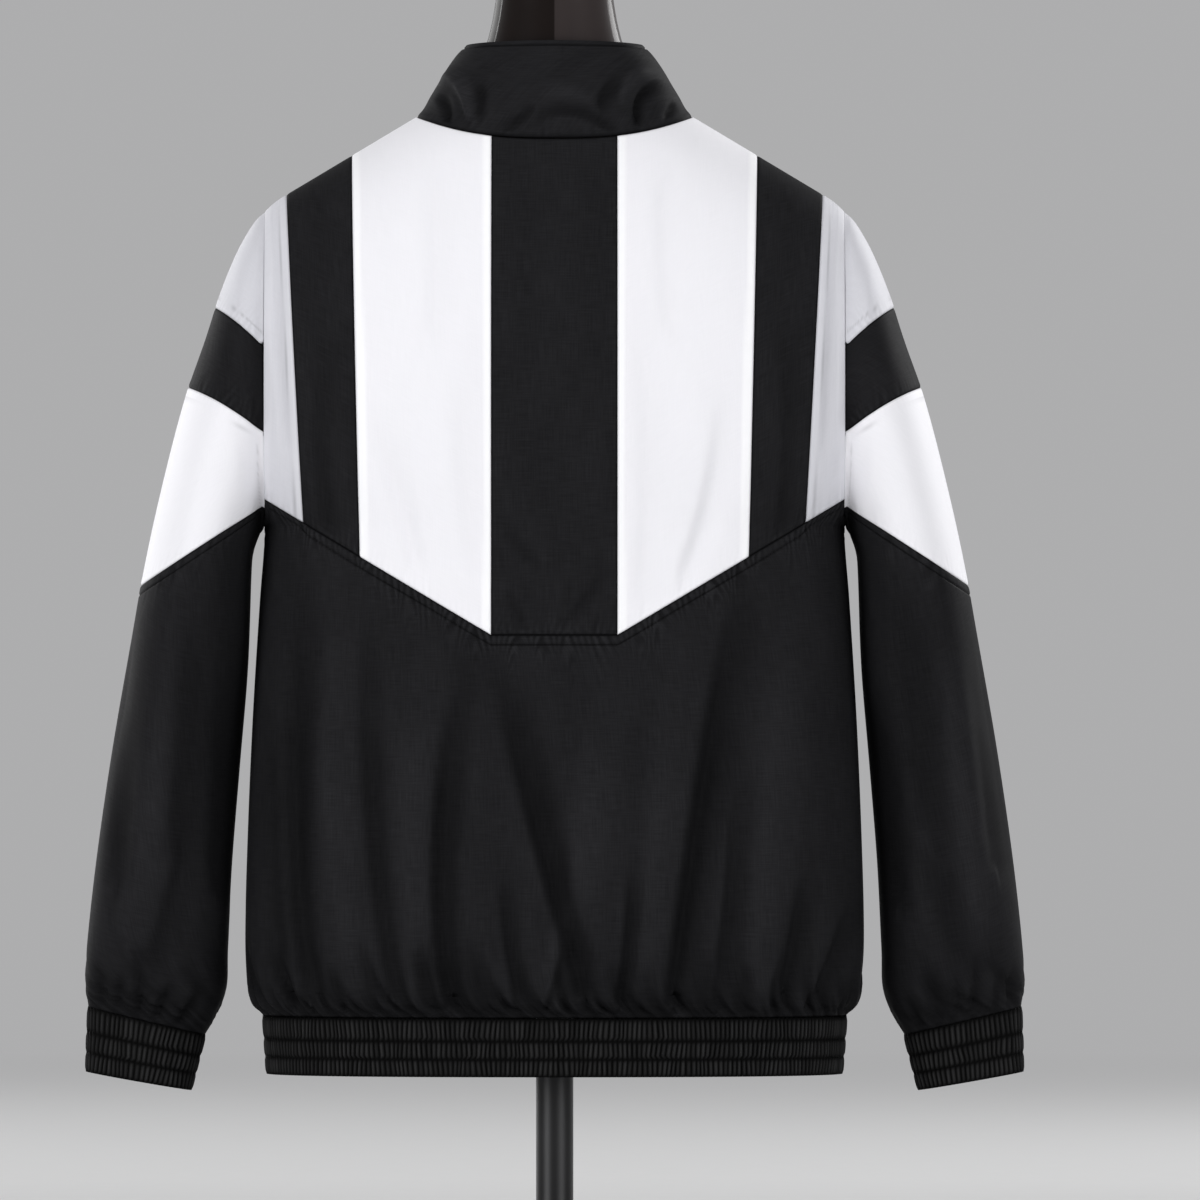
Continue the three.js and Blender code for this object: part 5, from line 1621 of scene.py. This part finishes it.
class WINDBREAKER_OT_studio(bpy.types.Operator):
    """Lays the pale floor, hangs the soft lights and sets the camera behind the garment"""

    bl_idname = "windbreaker.studio"
    bl_label = "Studio"

    def execute(self, context):
        studio = context.scene.windbreaker_studio
        world = context.scene.world or bpy.data.worlds.new("Studio")
        context.scene.world = world
        world.use_nodes = True
        back = world.node_tree.nodes["Background"]
        back.inputs["Color"].default_value = colour(studio.surround)
        back.inputs["Strength"].default_value = 1
        context.scene.view_settings.view_transform = "Standard"
        self.floor(studio)
        for name, (away, width, height, share) in LIGHTS.items():
            light = bpy.data.lights.new(name, "AREA")
            light.shape = "ELLIPSE"
            light.size, light.size_y = width, height
            light.energy = share * studio.light
            lamp = as_object(name, light)
            lamp.location = STUDIO_MIDDLE + Vector(away)
            lamp.rotation_euler = (-Vector(away)).to_track_quat("-Z", "Y").to_euler()
            lamp.visible_camera = False
        camera = bpy.data.cameras.new("Camera")
        camera.lens = CAMERA_LENS
        camera.clip_end = CAMERA_FAR
        eye = as_object("Camera", camera)
        eye.location = CAMERA_PLACE
        eye.rotation_euler = (math.pi / 2, 0, math.pi)
        context.scene.camera = eye
        return {"FINISHED"}

    def floor(self, studio):
        """A wide floor that turns into the surround with distance, so that no edge shows."""
        bm = bmesh.new()
        bmesh.ops.create_circle(bm, cap_ends=True, segments=ROUND_STEPS, radius=FLOOR_RADIUS)
        mesh = filled(bm, "floor")
        n = Nodes("studio_floor")
        place = n.place()
        mottle = n.noise(place, (40, 40, 40), 4)
        n.set(base_color=n.varied(mottle, studio.floor, (0.97, 1.02)), roughness=0.7)
        far = n.add("ShaderNodeVectorMath", {0: place}, operation="LENGTH").outputs["Value"]
        glow = n.add("ShaderNodeEmission", {"Color": colour(studio.surround)}).outputs[0]
        share = n.ramp(far, *FLOOR_FADES, 0.0, 1.0)
        both = n.add("ShaderNodeMixShader", {0: share, 1: n.shader.outputs[0], 2: glow})
        n.feed(n.tree.nodes["Material Output"].inputs["Surface"], both.outputs[0])
        mesh.materials.append(n.material)
        as_object("floor", mesh)


# ---- The add-on ----


def length(name, description, default):
    return FloatProperty(
        name=name, description=description, default=default, min=0, unit="LENGTH"
    )


def count(name, description, default, least):
    return IntProperty(name=name, description=description, default=default, min=least)


def tint(name, description, default):
    return FloatVectorProperty(
        name=name, description=description, default=default, size=3, min=0, max=1, subtype="COLOR"
    )


class WindbreakerCut(bpy.types.PropertyGroup):
    cloth: length("Shell cloth", "Thickness of the shell cloth with its mesh backing", 0.0014)
    elastic: length("Elastic", "Thickness of the shirred band's cloth", 0.0012)
    topstitch: length("Topstitch", "Distance of the topstitching from a seam", 0.0072)
    stitch_length: length("Stitch", "Length of one stitch", 0.0026)
    stitch_gap: length("Stitch gap", "Gap between two stitches", 0.0008)
    thread: length("Thread", "Diameter of the sewing thread", 0.0005)
    rib_height: length("Rib", "How far the elastic's ribs stand out", 0.0017)
    crease: FloatProperty(
        name="Creases",
        description="How deep the creases are, 1 as placed",
        default=1.7,
        min=0,
        subtype="FACTOR",
    )
    band_ribs: count("Waistband ribs", "Ribs round the waistband", 294, 24)
    cuff_ribs: count("Cuff ribs", "Ribs round each cuff", 56, 12)


class WindbreakerColours(bpy.types.PropertyGroup):
    black: tint("Black shell", "Colour of the black cloth", (0.0129, 0.0129, 0.0141))
    white: tint("White shell", "Colour of the white cloth", (0.835, 0.83, 0.865))
    grey: tint("Grey shell", "Colour of the grey cloth", (0.61, 0.61, 0.65))
    doubled_white: tint("Doubled white", "White cloth over a seam allowance", (0.92, 0.92, 0.94))
    doubled_grey: tint("Doubled grey", "Grey cloth over a seam allowance", (0.64, 0.64, 0.68))
    elastic: tint("Elastic", "Colour of the shirred elastic", (0.0255, 0.0255, 0.0260))
    thread: tint("Thread", "Colour of the sewing thread", (0.004, 0.004, 0.0042))
    zip_tape: tint("Zip tape", "Colour of the zip's tape and teeth", (0.010, 0.010, 0.011))
    zip_metal: tint("Zip metal", "Colour of the slider and the pull", (0.10, 0.10, 0.11))
    lacquer: tint("Lacquer", "The dress form's left half", (0.0075, 0.0048, 0.0042))
    # Painted reflection: the lighter colour that the right half is painted, as if it caught the
    # light
    lacquer_reflection: tint("Lighter lacquer", "The dress form's right half", (0.031, 0.0245, 0.024))
    steel: tint("Stand", "Colour of the coated steel stand", (0.02, 0.02, 0.021))


class WindbreakerStudio(bpy.types.PropertyGroup):
    surround: tint("Surround", "Colour of the light all round", (0.42, 0.42, 0.425))
    floor: tint("Floor", "Colour of the floor", (0.62, 0.62, 0.62))
    light: FloatProperty(
        name="Light", description="Power of the key light", default=78, min=0, unit="POWER"
    )


GROUPS = {
    "windbreaker_cut": WindbreakerCut,
    "windbreaker_colours": WindbreakerColours,
    "windbreaker_studio": WindbreakerStudio,
}
OPERATORS = (
    WINDBREAKER_OT_upper_body,
    WINDBREAKER_OT_lower_body,
    WINDBREAKER_OT_sleeves,
    WINDBREAKER_OT_elastic,
    WINDBREAKER_OT_collar,
    WINDBREAKER_OT_zip,
    WINDBREAKER_OT_form,
    WINDBREAKER_OT_stand,
    WINDBREAKER_OT_studio,
)


class WINDBREAKER_PT_panel(bpy.types.Panel):
    """Lists the garment's pieces, sizes and colours"""

    bl_idname = "WINDBREAKER_PT_panel"
    bl_label = "Windbreaker"
    bl_space_type = "VIEW_3D"
    bl_region_type = "UI"
    bl_category = "Windbreaker"

    def draw(self, context):
        for operator in OPERATORS:
            self.layout.operator(operator.bl_idname)
        for name, group in GROUPS.items():
            box = self.layout.box()
            for key in group.__annotations__:
                box.prop(getattr(context.scene, name), key)


def register():
    for group in GROUPS.values():
        bpy.utils.register_class(group)
    for name, group in GROUPS.items():
        setattr(bpy.types.Scene, name, PointerProperty(type=group))
    for cls in (*OPERATORS, WINDBREAKER_PT_panel):
        bpy.utils.register_class(cls)


def unregister():
    for cls in (WINDBREAKER_PT_panel, *reversed(OPERATORS)):
        bpy.utils.unregister_class(cls)
    for name in GROUPS:
        delattr(bpy.types.Scene, name)
    for group in GROUPS.values():
        bpy.utils.unregister_class(group)


def main():
    register()
    bpy.ops.windbreaker.upper_body()
    bpy.ops.windbreaker.lower_body()
    bpy.ops.windbreaker.sleeves()
    bpy.ops.windbreaker.elastic()
    bpy.ops.windbreaker.collar()
    bpy.ops.windbreaker.zip()
    bpy.ops.windbreaker.dress_form()
    bpy.ops.windbreaker.stand()
    bpy.ops.windbreaker.studio()


if __name__ == "__main__":
    main()
